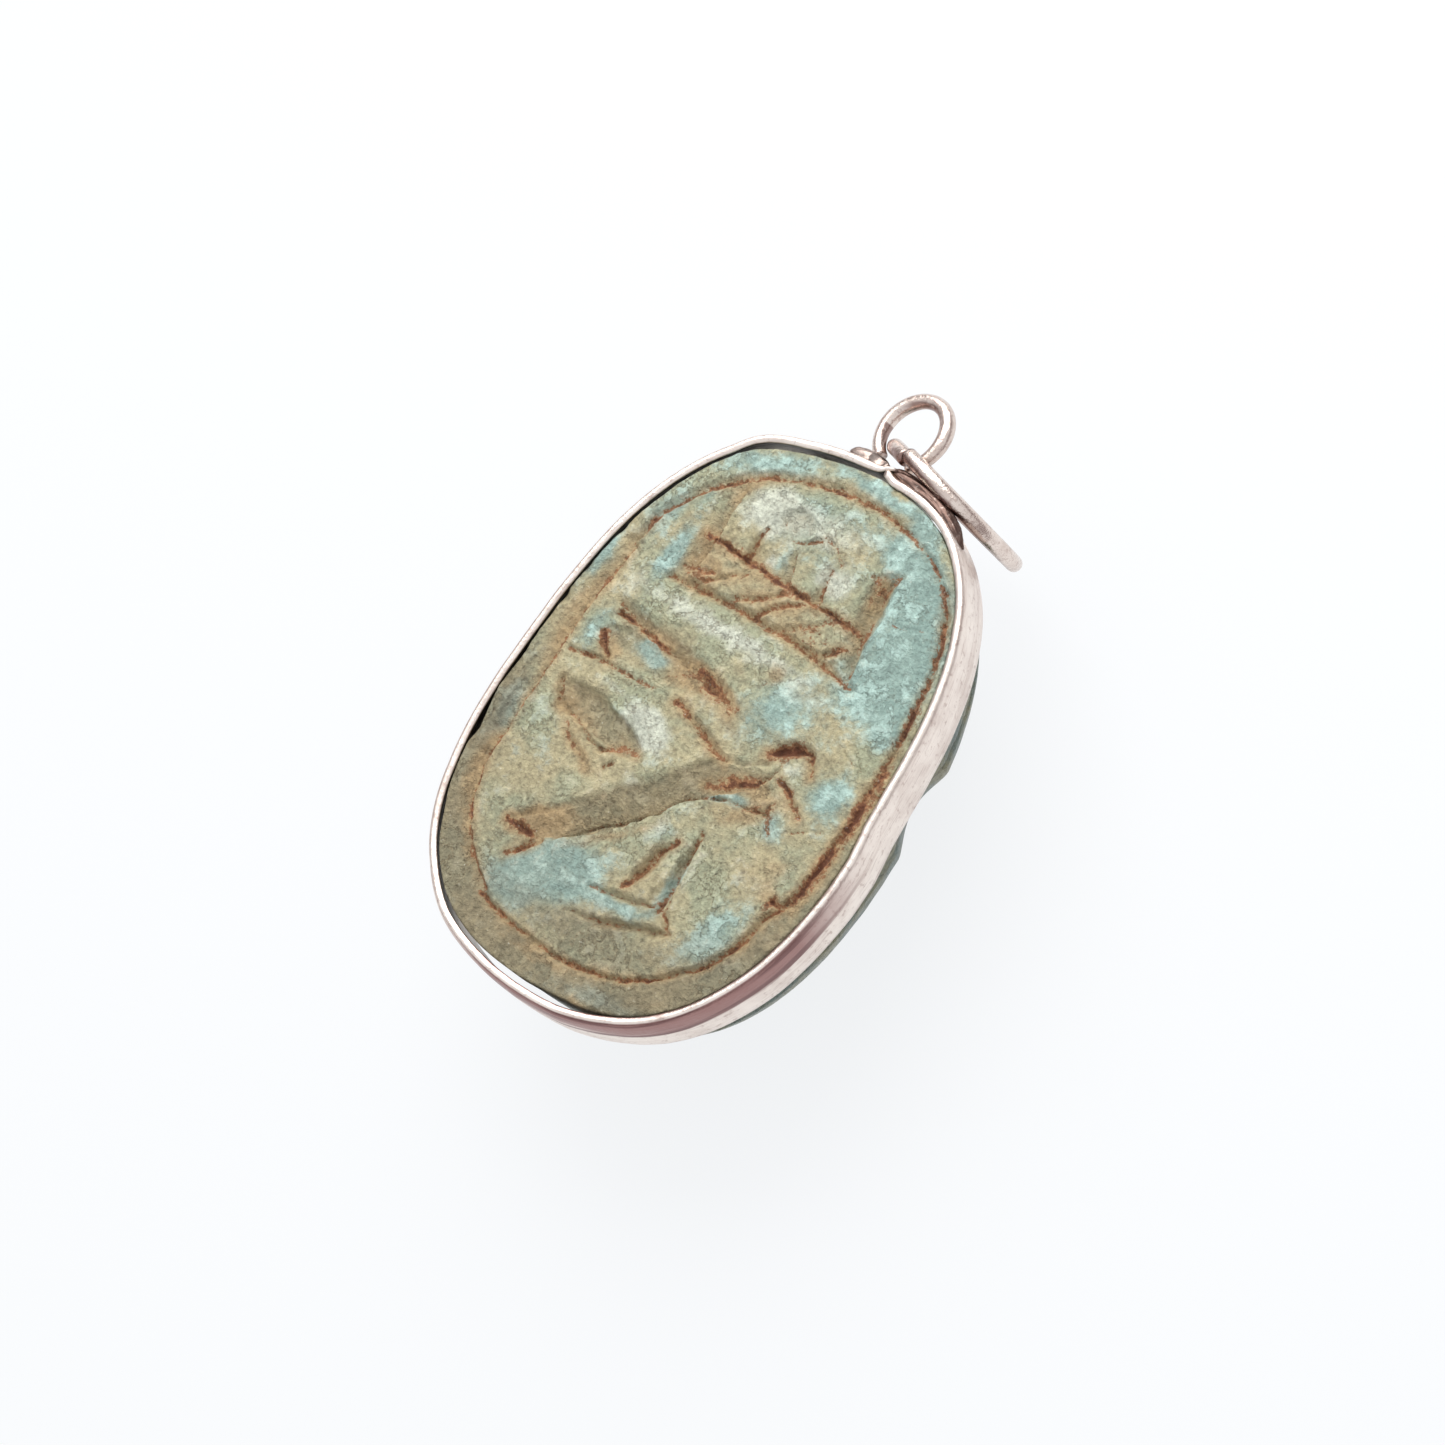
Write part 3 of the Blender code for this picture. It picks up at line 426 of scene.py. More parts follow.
pale_patches = [
    (-0.13, -0.11, 0.10, 0.055, -20, 2.0), (-0.35, -0.05, 0.10, 0.025, 0, 0.6),
    (-0.22, 0.30, 0.26, 0.045, 0, 0.9), (0.05, 0.29, 0.20, 0.035, 0, 0.7),
    (-0.11, 0.58, 0.03, 0.03, 0, 0.9), (-0.22, 0.74, 0.10, 0.07, 0, 0.7),
    (0.12, 0.62, 0.07, 0.05, 0, 0.7), (-0.08, -0.28, 0.09, 0.05, -40, 0.6),
    (0.41, 0.03, 0.04, 0.04, 0, 0.7), (0.05, -0.76, 0.15, 0.05, 15, 0.5),
    (0.13, -0.35, 0.04, 0.05, 0, 0.8), (-0.50, 0.30, 0.05, 0.10, 0, 0.5),
    (0.31, -0.45, 0.025, 0.15, 0, 0.5), (-0.43, 0.66, 0.02, 0.06, 0, 0.6),
    (0.02, 0.72, 0.05, 0.03, 0, 0.5), (0.05, 0.78, 0.20, 0.06, 0, 0.7),
    (-0.18, 0.72, 0.14, 0.09, 0, 1.0),
    (0.14, 0.63, 0.08, 0.07, 0, 0.7), (0.28, 0.25, 0.12, 0.06, 0, 0.6),
]
ochre_patches = [
    (0.0, 0.455, 0.38, 0.06, -2, 0.65), (-0.33, 0.46, 0.07, 0.07, 0, 0.8),
    (-0.05, 0.115, 0.12, 0.045, -5, 1.3), (-0.43, 0.07, 0.05, 0.05, 0, 0.8),
    (-0.27, -0.55, 0.11, 0.045, 35, 1.8), (-0.03, -0.485, 0.25, 0.028, 44, 0.9),
    (0.30, -0.19, 0.12, 0.05, 20, 0.6), (-0.30, -0.29, 0.10, 0.03, -25, 0.9),
    (-0.46, -0.18, 0.05, 0.05, 0, 0.7), (-0.635, 0.10, 0.03, 0.30, 0, 0.6),
    (-0.60, -0.52, 0.04, 0.13, 10, 0.7), (0.0, -0.93, 0.15, 0.02, 0, 0.6),
    (0.46, -0.86, 0.08, 0.03, 40, 0.5), (0.695, -0.15, 0.03, 0.35, 0, 0.9),
    (0.57, -0.27, 0.06, 0.03, 40, 0.5), (0.15, 0.26, 0.05, 0.04, 50, 0.8),
    (0.52, -0.34, 0.10, 0.12, 0, 0.6), (-0.34, 0.75, 0.03, 0.07, -30, 0.9),
    (0.28, 0.66, 0.035, 0.07, 5, 0.9), (0.55, 0.70, 0.03, 0.12, 30, 0.7),
    (-0.42, 0.85, 0.06, 0.03, 35, 0.5), (0.0, 0.93, 0.12, 0.02, 0, 0.4),
    (0.23, -0.97, 0.05, 0.02, 0, 0.9), (0.08, 0.05, 0.12, 0.04, -20, 0.3),
    (0.39, -0.12, 0.07, 0.05, 0, 1.0), (0.33, -0.21, 0.08, 0.025, 25, 0.7),
]
rust_patches = [
    (0.35, 0.065, 0.055, 0.028, 40, 1.1), (0.680, -0.16, 0.020, 0.22, 0, 0.45),
    (0.605, -0.385, 0.018, 0.03, 0, 0.9), (-0.10, -0.44, 0.25, 0.012, 42, 0.15),
    (0.690, 0.05, 0.020, 0.30, 0, 0.55), (0.665, 0.40, 0.018, 0.20, -8, 0.35),
    (0.25, -0.092, 0.08, 0.016, 30, 0.6), (-0.30, -0.605, 0.05, 0.018, 0, 0.6),
    (-0.27, -0.655, 0.02, 0.04, -30, 0.6), (0.0, 0.45, 0.33, 0.05, -2, 0.13),
    (0.275, 0.66, 0.025, 0.06, 0, 0.35), (-0.33, 0.43, 0.05, 0.03, 0, 0.5),
    (0.20, 0.41, 0.09, 0.035, 0, 0.35), (-0.03, 0.11, 0.09, 0.03, -15, 0.5),
    (0.44, -0.055, 0.05, 0.02, -30, 0.5), (-0.47, 0.08, 0.03, 0.03, 0, 0.4),
    (-0.48, -0.165, 0.03, 0.03, 0, 0.4), (-0.37, 0.165, 0.12, 0.012, -6, 0.4),
    (0.37, -0.15, 0.06, 0.04, 20, 0.40), (-0.10, 0.545, 0.25, 0.02, -3, 0.35),
]
# Painted shade: olive-brown darkening over the cuts' slopes and floors, in these listed patches.
cut_shade_patches = [
    (-0.10, -0.38, 0.24, 0.045, 45, 0.75), (0.16, -0.13, 0.14, 0.035, 30, 0.7),
    (-0.31, -0.165, 0.15, 0.04, -12, 0.7), (0.285, 0.64, 0.030, 0.08, 0, 1.1),
    (0.0, 0.455, 0.33, 0.05, -2, 0.1), (-0.20, 0.168, 0.28, 0.02, -8, 0.6),
    (0.10, 0.03, 0.12, 0.04, -15, 0.4), (-0.28, -0.55, 0.08, 0.04, 35, 0.5),
]
# Darker brown towards the tail and along the lower margins, and in these listed patches.
brown_darkening_patches = [
    (0.05, -0.80, 0.30, 0.06, 0, 0.45), (-0.1, -0.94, 0.40, 0.05, 0, 0.5),
    (0.15, -0.73, 0.12, 0.05, 10, 0.5),
    (-0.66, -0.45, 0.05, 0.30, 10, 0.4), (0.40, -0.70, 0.15, 0.08, 40, 0.25),
    (0.60, -0.30, 0.05, 0.2, 0, 0.25), (-0.30, 0.40, 0.12, 0.03, 0, 0.3),
]


def patchwork(places, patches, seed):
    """Strength of soft patches at places on the base, with ragged borders."""
    x = places[:, 0] / HALF_LENGTH + 0.02 * speckle(places, 0.9, seed)
    y = places[:, 1] / HALF_LENGTH + 0.02 * speckle(places, 0.9, seed + 1)
    total = np.zeros(len(places))
    for *patch, strength in patches:
        total += strength * np.exp(-patch_square(x, y, patch))
    return total


glaze = 0.14 + patchwork(flat, glaze_patches, 21) + 0.30 * speckle(flat, 2.2, 23)
pale = patchwork(flat, pale_patches, 25) + 0.15 * speckle(flat, 1.0, 27)
# Ochre stain round the rust lines and in listed patches, plus ochre that grows with the cuts'
# depth, which is painted shade in them.
halo = halo + patchwork(flat, ochre_patches, 29) + 0.20 * np.clip(depth / (0.4 * MM), 0, 1)
halo *= 1 - 0.45 * np.clip(glaze, 0, 1)
rust = rust + patchwork(flat, rust_patches, 35)
rust = rust * (0.80 + 0.75 * speckle(flat, 1.2, 31) + 0.50 * speckle(flat, 0.40, 32))
# Painted shade in the cuts: darker with their depth and in the patches above, less on the glaze.
cut_shade = np.clip(depth / (0.42 * MM), 0, 1) + patchwork(flat, cut_shade_patches, 37)
cut_shade *= 1 - 0.4 * np.clip(glaze, 0, 1)
# Darker brown near the rim on the lower part, towards the tail, and in the patches above.
margin = np.clip((reach - 0.86) / 0.06, 0, 1) * np.clip(0.55 - flat[:, 1] / HALF_LENGTH, 0, 1)
tail = np.clip(-0.15 - flat[:, 1] / HALF_LENGTH - 0.3 * flat[:, 0] / HALF_LENGTH, 0, 0.5)
brown_darkening = 0.75 * margin + 0.7 * tail + patchwork(flat, brown_darkening_patches, 39)
brown_darkening += 0.15 * speckle(flat, 1.8, 33)

# The back: a second grid, domed, with the waist, wing seam, neck, head plate and legs cut in it.
back_face, back_disc = grid_on_oval("scarab_back", 120, 168)


def dome(places):
    """Points of the domed back under places in plan, given in metres."""
    x, y = places[:, 0], places[:, 1]
    straight = x / (1 - OVAL_TAPER * y / HALF_LENGTH)
    share = ((np.abs(straight) / HALF_WIDTH) ** OVAL_POWER
             + (np.abs(y) / HALF_LENGTH) ** OVAL_POWER) ** (1 / OVAL_POWER)
    fall = np.clip(1 - share ** BACK_POWER, 0, 1) ** (1 / BACK_POWER)
    lower = np.clip((y - WAIST_PLACE) / (HALF_LENGTH - WAIST_PLACE), 0, 1)
    full = (SIDE_FOOT + RESTING_FLAT_SINK) * (1 - HEAD_DROP * lower)
    return np.column_stack([x, y, np.maximum(SIDE_FOOT - full * fall, 0.0)])


reach = np.hypot(back_disc[:, 0], back_disc[:, 1])
turn = np.arctan2(back_disc[:, 1] * HALF_LENGTH, back_disc[:, 0] * HALF_WIDTH)
share = np.sin(np.clip(reach, 0, 1) * math.pi / 2) ** (1 - 0.2 * reach ** 2)
under = dome(oval(turn) * share[:, None])
put(back_face, under)


def side_point(angle, drop):
    """Point of the back at a polar angle in degrees, a drop in metres below the band."""
    part = (1 - (drop / SIDE_FOOT) ** BACK_POWER) ** (1 / BACK_POWER)
    return dome(oval(np.radians(np.array([angle]))) * part)[0]


# Lines cut in the back: points, half the width and the depth in millimetres.
back_lines = []
waist = np.column_stack([HALF_WIDTH * np.sin(np.radians(np.linspace(-88, 88, 41))),
                         np.full(41, WAIST_PLACE)])
back_lines.append((dome(waist), 0.34, 0.26))
seam = np.column_stack([np.zeros(30), np.linspace(WAIST_PLACE, -0.99 * HALF_LENGTH, 30)])
back_lines.append((dome(seam), 0.20, 0.16))
bow = np.linspace(-1, 1, 21)
neck = np.column_stack([0.62 * HALF_WIDTH * bow, NECK_PLACE + NECK_BOW * bow ** 2])
back_lines.append((dome(neck), 0.30, 0.24))
for side in (-1, 1):
    cheek = np.linspace(0, 1, 9)
    cheek = np.column_stack([side * (0.20 + 0.10 * cheek) * HALF_WIDTH,
                             NECK_PLACE + CHEEK_START + CHEEK_LENGTH * cheek])
    back_lines.append((dome(cheek), 0.20, 0.16))
    body_line = np.array([side_point(angle, LEG_LINE_DROP) for angle in np.linspace(-78, 67, 40)])
    back_lines.append((body_line * (side, 1, 1), 0.26, 0.20))
    for upper_turn, lower_turn in ((58, 42), (14, 2), (-38, -22)):
        leg = np.array([side_point(upper_turn + (lower_turn - upper_turn) * part,
                                   (0.08 + 0.92 * part) * LEG_LINE_DROP)
                        for part in np.linspace(0, 1, 9)])
        back_lines.append((leg * (side, 1, 1), 0.22, 0.18))
under_depth = np.zeros(len(under))
# Wide hollows that hold no rust: the head's notches and the flanks at the waist
notch_depth = np.zeros(len(under))
for side in (-1, 1):
    notch = dome(np.array([[side * 0.53 * HALF_WIDTH, 0.835 * HALF_LENGTH]]))[0]
    off = np.linalg.norm(under - notch, axis=1) / (1.75 * MM)
    notch_depth = np.maximum(notch_depth, 0.55 * MM * np.clip(1 - off ** 2, 0, 1) ** 1.8)
    flank = dome(waist[-10:] * (side, 1) + (0, 0.0007))
    off = np.min([np.linalg.norm(under - spot, axis=1) for spot in flank], axis=0) / (2.3 * MM)
    notch_depth = np.maximum(notch_depth, 0.65 * MM * np.clip(1 - off ** 2, 0, 1) ** 1.5)
for points, half, deep in back_lines:
    for start, end in zip(points, points[1:]):
        span = end - start
        near = np.clip((under - start) @ span / max(span @ span, 1e-12), 0, 1)
        off = np.linalg.norm(under - start - near[:, None] * span, axis=1) / (half * MM)
        fall = np.clip(1 - off, 0, 1)
        under_depth = np.maximum(under_depth, deep * MM * fall * (1.4 - 0.4 * fall))
normals = normals_of(back_face)
if normals[len(normals) // 2, 2] > 0:
    normals = -normals
rim_fade = np.clip((1 - reach) / 0.03, 0, 1)
wave = 0.03 * speckle(under, 2.5, 41) + 0.012 * speckle(under, 0.7, 42)
deepest = np.maximum(under_depth, notch_depth)
under = under - normals * ((deepest - wave * MM) * rim_fade)[:, None]
under[:, 2] = np.maximum(under[:, 2], 0.0)
put(back_face, under)
under_grime = np.clip(under_depth / (0.2 * MM), 0, 1)
under_bare = np.zeros(len(under))

# What the material reads: values over the base, and values over the back.
for name, above, below in (
        ("halo", halo, 0.15 + 0.6 * under_grime + 0.2 * speckle(under, 3.0, 43)),
        ("rust", rust, 0.55 * under_grime ** 2),
        ("glaze", glaze, 0.75 + 0.35 * speckle(under, 3.2, 44)),
        ("gloss", np.zeros(len(flat)), np.ones(len(under))),
        ("pale", pale, under_bare), ("pits", pits, under_bare),
        ("brown_darkening", brown_darkening, under_bare), ("cut_shade", cut_shade, under_bare)):
    paint(base_face, name, above)
    paint(back_face, name, below)


def select_open_edges(piece, over=-1.0):
    """Selects a piece's open edges over a height, and nothing else."""
    bpy.ops.mesh.select_all(action="DESELECT")
    bm = bmesh.from_edit_mesh(piece.data)
    for line in bm.edges:
        if line.is_boundary and line.verts[0].co.z > over:
            line.select_set(True)
    bmesh.update_edit_mesh(piece.data)


# One closed stone: both faces joined, the side drawn down from the base and bridged to the back.
SIDE_DRAWN = 0.0009
scarab = base_face
join((back_face, scarab))
bpy.ops.object.mode_set(mode="EDIT")
bpy.ops.mesh.select_mode(type="EDGE")
select_open_edges(scarab, SIDE_FOOT + 0.001)
bpy.ops.mesh.extrude_region_move(TRANSFORM_OT_translate={"value": (0, 0, -SIDE_DRAWN)})
select_open_edges(scarab)
bpy.ops.mesh.bridge_edge_loops()
bpy.ops.mesh.select_all(action="SELECT")
bpy.ops.mesh.normals_make_consistent(inside=False)
bpy.ops.object.mode_set(mode="OBJECT")
scarab.data.shade_smooth()


class Tone:
    """A shader socket: Python arithmetic on it adds Math nodes to its finish."""

    def __init__(self, finish, socket):
        self.finish = finish
        self.socket = socket

    def math(self, operation, first, second=0.0):
        return self.finish.node("ShaderNodeMath", {"operation": operation}, {0: first, 1: second})

    def __add__(self, other):
        return self.math("ADD", self, other)

    __radd__ = __add__

    def __sub__(self, other):
        return self.math("SUBTRACT", self, other)

    def __rsub__(self, other):
        return self.math("SUBTRACT", other, self)

    def __mul__(self, other):
        return self.math("MULTIPLY", self, other)

    __rmul__ = __mul__

    def __abs__(self):
        return self.math("ABSOLUTE", self)


class Finish:
    """A material under construction, with its one Principled shader."""

    def __init__(self, name):
        self.material = bpy.data.materials.new(name)
        self.material.use_nodes = True
        self.tree = self.material.node_tree
        self.shader = self.tree.nodes["Principled BSDF"]

    def node(self, kind, settings, sockets, output=0):
        """Adds a node: its settings first, then values or links for its sockets."""
        made = self.tree.nodes.new(kind)
        for key, value in settings.items():
            setattr(made, key, value)
        for key, value in sockets.items():
            self.feed(made.inputs[key], value)
        return Tone(self, made.outputs[output])

    def feed(self, socket, value):
        if isinstance(value, Tone):
            self.tree.links.new(value.socket, socket)
        else:
            socket.default_value = value

    def place(self):
        return self.node("ShaderNodeTexCoord", {}, {}, "Object")

    def layer(self, name):
        return self.node("ShaderNodeAttribute", {"attribute_name": name}, {}, "Fac")

    def noise(self, place, size, detail=2.0, roughness=0.5):
        """Noise with spots of a size in millimetres, from 0 to 1."""
        return self.node("ShaderNodeTexNoise", {},
                         {"Vector": place, "Scale": 1000 / size, "Detail": detail,
                          "Roughness": roughness})

    def between(self, value, low, high):
        """0 below low, 1 above high and even between."""
        return self.node("ShaderNodeMapRange", {"clamp": True, "interpolation_type": "SMOOTHSTEP"},
                         {"Value": value, "From Min": low, "From Max": high})

    def mix(self, share, first, second):
        return self.node("ShaderNodeMix", {"data_type": "RGBA"},
                         {0: share, 6: first, 7: second}, 2)

    def bump(self, height, distance, below=None):
        sockets = {"Height": height, "Strength": 1.0, "Distance": distance}
        if below is not None:
            sockets["Normal"] = below
        return self.node("ShaderNodeBump", {}, sockets)


stone = Finish("glazed_stone")
place = stone.place()
coarse = stone.noise(place, 2.4, 3.0)
patchy = stone.noise(place, 0.9, 6.0, 0.68)
grain = stone.noise(place, 0.30, 4.0, 0.7)
speck = stone.noise(place, 0.13, 2.0, 0.6)
fine = stone.noise(place, 0.06, 2.0, 0.6)
crumb = 1 - 1.5 * stone.node("ShaderNodeTexVoronoi", {},
                             {"Vector": place, "Scale": 1000 / 0.27, "Detail": 1.5,
                              "Roughness": 0.6})
creases = 1 - stone.between(abs(patchy - 0.5), 0.0, 0.022)
creases = creases * stone.between(coarse, 0.40, 0.60)
ragged = 1.3 * (patchy - 0.5) + 0.5 * (grain - 0.5)
glaze_share = stone.layer("glaze") + ragged
pale_share = stone.layer("pale") + ragged
halo_share = stone.layer("halo") + ragged + 0.25 * (speck - 0.5)
rust_near = stone.between(stone.layer("rust"), 0.04, 0.30)
rust_share = stone.layer("rust") + rust_near * (2.6 * (grain - 0.5) + 1.2 * (speck - 0.5)
                                                + 0.25 * creases)
glazed = stone.between(glaze_share, 0.15, 1.05)
colour = stone.mix(stone.between(coarse, 0.38, 0.62), (0.430, 0.380, 0.232, 1),
                   (0.375, 0.392, 0.262, 1))
# Paler where the patchy bump stands high: partly the stone's mottling, partly painted light on the
# highs.
colour = stone.mix(0.7 * stone.between(patchy, 0.52, 0.72), colour, (0.455, 0.435, 0.325, 1))
colour = stone.mix(0.92 * glazed, colour, (0.270, 0.400, 0.365, 1))
colour = stone.mix(0.8 * glazed * stone.between(patchy, 0.46, 0.66), colour,
                   (0.43, 0.59, 0.54, 1))
colour = stone.mix(stone.between(pale_share, 0.2, 1.2), colour, (0.55, 0.575, 0.475, 1))
# Darker brown towards the tail and the lower margins.
colour = stone.mix(0.75 * stone.between(stone.layer("brown_darkening") + 0.6 * ragged, 0.0, 1.0), colour,
                   (0.195, 0.160, 0.098, 1))
# Painted shade: the cuts' floors and slopes darkened to olive-brown.
colour = stone.mix(0.70 * stone.between(stone.layer("cut_shade") + 0.5 * ragged, 0.10, 0.95), colour,
                   (0.265, 0.210, 0.122, 1))
colour = stone.mix(0.80 * stone.between(halo_share, 0.18, 1.15), colour, (0.385, 0.270, 0.140, 1))
colour = stone.mix(0.85 * stone.between(rust_share, 0.24, 0.62), colour, (0.275, 0.115, 0.048, 1))
colour = stone.mix(0.9 * stone.between(rust_share, 0.70, 1.2), colour, (0.125, 0.042, 0.020, 1))
# Darker brown grain where the grain's bump is low: partly the stone's grain, partly painted shade
# in its hollows.
colour = stone.mix((0.27 - 0.15 * glazed) * stone.between(grain, 0.56, 0.72), colour,
                   (0.23, 0.165, 0.085, 1))
colour = stone.mix((0.40 - 0.2 * glazed) * creases, colour, (0.25, 0.17, 0.085, 1))
colour = stone.mix(0.4 * stone.between(speck + 0.2 * crumb, 0.62, 0.80), colour,
                   (0.64, 0.64, 0.55, 1))
colour = stone.mix(0.25 * stone.between(fine, 0.58, 0.75), colour, (0.13, 0.10, 0.065, 1))
colour = stone.mix(0.6 * stone.layer("pits"), colour, (0.09, 0.06, 0.04, 1))
# The stone's tone varies at random and is darker in the bump's hollows: partly its own mottling,
# partly painted shade.
shade = 1.15 + 1.3 * (patchy - 0.5) + 0.20 * (crumb - 0.3)
shade = shade + (0.5 - grain) * (1.0 - 0.5 * glazed) + 0.35 * (0.5 - speck)
colour = stone.node("ShaderNodeMix", {"data_type": "RGBA", "blend_type": "MULTIPLY"},
                    {0: 1.0, 6: colour, 7: shade}, 2)
back_tone = stone.mix(stone.between(stone.noise(place, 1.7, 5.0, 0.6), 0.38, 0.66),
                      (0.145, 0.195, 0.175, 1), (0.255, 0.245, 0.150, 1))
back_tone = stone.mix(0.8 * stone.between(stone.layer("rust"), 0.1, 0.5), back_tone,
                      (0.07, 0.05, 0.03, 1))
colour = stone.mix(stone.layer("gloss"), colour, back_tone)
stone.feed(stone.shader.inputs["Base Color"], colour)
stone.feed(stone.shader.inputs["Roughness"],
           (0.62 + 0.2 * grain) * (1 - stone.layer("gloss")) + stone.layer("gloss")
           * (0.22 + 0.25 * patchy))
stone.shader.inputs["Specular IOR Level"].default_value = 0.4
relief = stone.bump(patchy, 0.00036)
relief = stone.bump(1 - grain, 0.00014, relief)
relief = stone.bump(1 - creases, 0.00002, relief)
stone.feed(stone.shader.inputs["Normal"], relief)
scarab.data.materials.clear()
scarab.data.materials.append(stone.material)
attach(scarab, "root")
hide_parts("scarab")


# Silver band.
# A thin strip of silver bent round the stone's side, its upper edge rubbed in over the stone. It
# was bent by hand, so its rim waves a little; its ends meet under the suspension loop.
# The profile is spun on a plain circle, then drawn out to the oval, a little past a full turn.
BAND_STEPS = 480
BAND_CIRCLE = 0.010
BAND_START = math.radians(85.2)
BAND_SPUN = math.radians(355)
BAND_WRAP = math.radians(361.4)
band_profile = [(0.15, -2.44), (0.30, -2.48), (0.44, -2.45), (0.50, -2.37), (0.53, -2.1),
                (0.545, -1.6), (0.545, -1.1), (0.53, -0.7), (0.50, -0.35), (0.45, -0.10),
                (0.38, 0.06), (0.30, 0.13), (0.21, 0.15), (0.12, 0.125), (0.03, 0.09),
                (0.0, 0.055), (-0.005, -0.01), (0.02, -0.12), (0.10, -0.4), (0.17, -1.2)]
bpy.ops.object.select_all(action="DESELECT")
bpy.ops.mesh.primitive_circle_add(vertices=len(band_profile), radius=0.001, fill_type="NGON",
                                  location=(0, 0, 0))
band = bpy.context.object
band.name = "bent_band"
for vert, (outward, rise) in zip(band.data.vertices, band_profile):
    vert.co = (BAND_CIRCLE + outward * MM, 0, STONE_TOP + rise * MM)
bpy.ops.object.mode_set(mode="EDIT")
bpy.ops.mesh.select_all(action="SELECT")
bpy.ops.mesh.spin(steps=BAND_STEPS, angle=BAND_SPUN, center=(0, 0, 0), axis=(0, 0, -1))
bpy.ops.mesh.select_all(action="SELECT")
bpy.ops.mesh.normals_make_consistent(inside=False)
bpy.ops.object.mode_set(mode="OBJECT")
co = places_of(band)
spun = np.arctan2(co[:, 1], co[:, 0]) % (2 * math.pi)
spun = np.where(spun > 2 * math.pi - 1e-4, 0.0, spun)
outward = np.hypot(co[:, 0], co[:, 1]) - BAND_CIRCLE
outward_flat, rise_flat = outward.copy(), co[:, 2] - STONE_TOP
full_turn = BAND_START + spun * (BAND_WRAP / BAND_SPUN)
turn = (full_turn + math.pi) % (2 * math.pi) - math.pi
ring_place = np.column_stack([np.cos(turn), np.sin(turn), np.zeros(len(turn))]) * 0.011
sway = 0.02 * speckle(ring_place, 1.6, 52)
# How far the hand-bent strip stands off the oval, in millimetres, at turns in degrees
bends = ((-180, -0.14), (-160, -0.14), (-150, -0.13), (-140, -0.12), (-130, -0.03), (-120, 0.0),
         (-110, 0.18), (-100, 0.28), (-90, 0.40), (-80, 0.34), (-75, 0.24), (-70, 0.18),
         (-60, 0.20), (-50, 0.25), (-40, 0.36), (-30, 0.41), (-20, 0.43), (-10, 0.38), (0, 0.14),
         (10, 0.06), (20, 0.03), (40, 0.04), (50, 0.05), (60, 0.07), (70, 0.10), (76, 0.06),
         (80, 0.0), (84, -0.06), (86.6, 0.14), (87.3, 0.10), (90, 0.06), (94, 0.02), (99, -0.05),
         (105, -0.08), (110, 0.05), (113, 0.13), (116, 0.13), (120, 0.0), (130, -0.06),
         (150, -0.08), (160, -0.12), (180, -0.14))
bend = np.interp(np.degrees(turn), [mark[0] for mark in bends], [mark[1] for mark in bends])
flare = np.interp(np.degrees(full_turn), [85.2, 86.2, 87.2, 88.4, 91, 95],
                  [0.55, 0.38, 0.20, 0.07, 0.02, 0])
thin = np.interp(np.degrees(full_turn), [85.2, 88, 91], [0.35, 0.8, 1])
rise = co[:, 2] - STONE_TOP
outward = outward * thin + (bend + flare + sway) * MM
rise = rise + 0.03 * MM * speckle(ring_place, 4.5, 54) * np.clip((rise + 0.0024) / 0.0024, 0, 1)
spot = oval(turn, outward)
put(band, np.column_stack([spot, STONE_TOP + rise]))
wrap = band.data.uv_layers.new(name="wrap")
loops = np.zeros(len(band.data.loops), np.int32)
band.data.loops.foreach_get("vertex_index", loops)
wrap.data.foreach_set("uv", np.column_stack([spun[loops] * 11.5, co[loops, 2] / MM]).astype(
    np.float32).ravel())
band.data.shade_smooth()
paint(band, "solder", np.zeros(len(co)))
# Painted shade: the band's inner face, against the stone and in the gap under the rim, is painted
# near black.
inner_face_shade = (np.clip((0.16 - outward_flat / MM) / 0.05, 0, 1)
         * np.clip((0.06 - rise_flat / MM) / 0.06, 0, 1))
paint(band, "inner_face_shade", inner_face_shade)
# Distance of the seam from the stone's middle, in millimetres
SEAM_RADIUS = 13.4


def solder_blob(name, middle_turn, outward, height, reach, rough, dark):
    """A lump of solder bent along the band: reach is its half-sizes along, outward and up."""
    bpy.ops.object.select_all(action="DESELECT")
    bpy.ops.mesh.primitive_uv_sphere_add(segments=64, ring_count=32, radius=1)
    made = bpy.context.object
    made.name = name
    ball = places_of(made)
    size = 1 + rough * (speckle(ball * MM, 0.55, 61) + 0.5 * speckle(ball * MM, 0.22, 62))
    lump = ball * size[:, None] * reach
    run = math.radians(middle_turn) + lump[:, 0] / SEAM_RADIUS
    put(made, np.column_stack([oval(run, (outward + lump[:, 1]) * MM),
                               (height + lump[:, 2]) * MM]))
    made.data.shade_smooth()
    paint(made, "solder", np.full(len(ball), dark))
    return made


cup = solder_blob("solder_cup", 91.8, 0.56, 9.94, (1.15, 0.42, 0.30), 0.05, 0.75)
places = places_of(cup)
hollow = np.hypot(places[:, 0] - 0.00003, places[:, 1] - 0.0142) / 0.00045
places[:, 2] -= 0.22 * MM * np.clip(1 - hollow ** 2, 0, 1) * (places[:, 2] > 0.00998)
put(cup, places)
lump = solder_blob("solder_lump", 76.0, 0.60, 9.86, (2.7, 0.42, 0.46), 0.10, 1.0)
join((cup, lump, band))


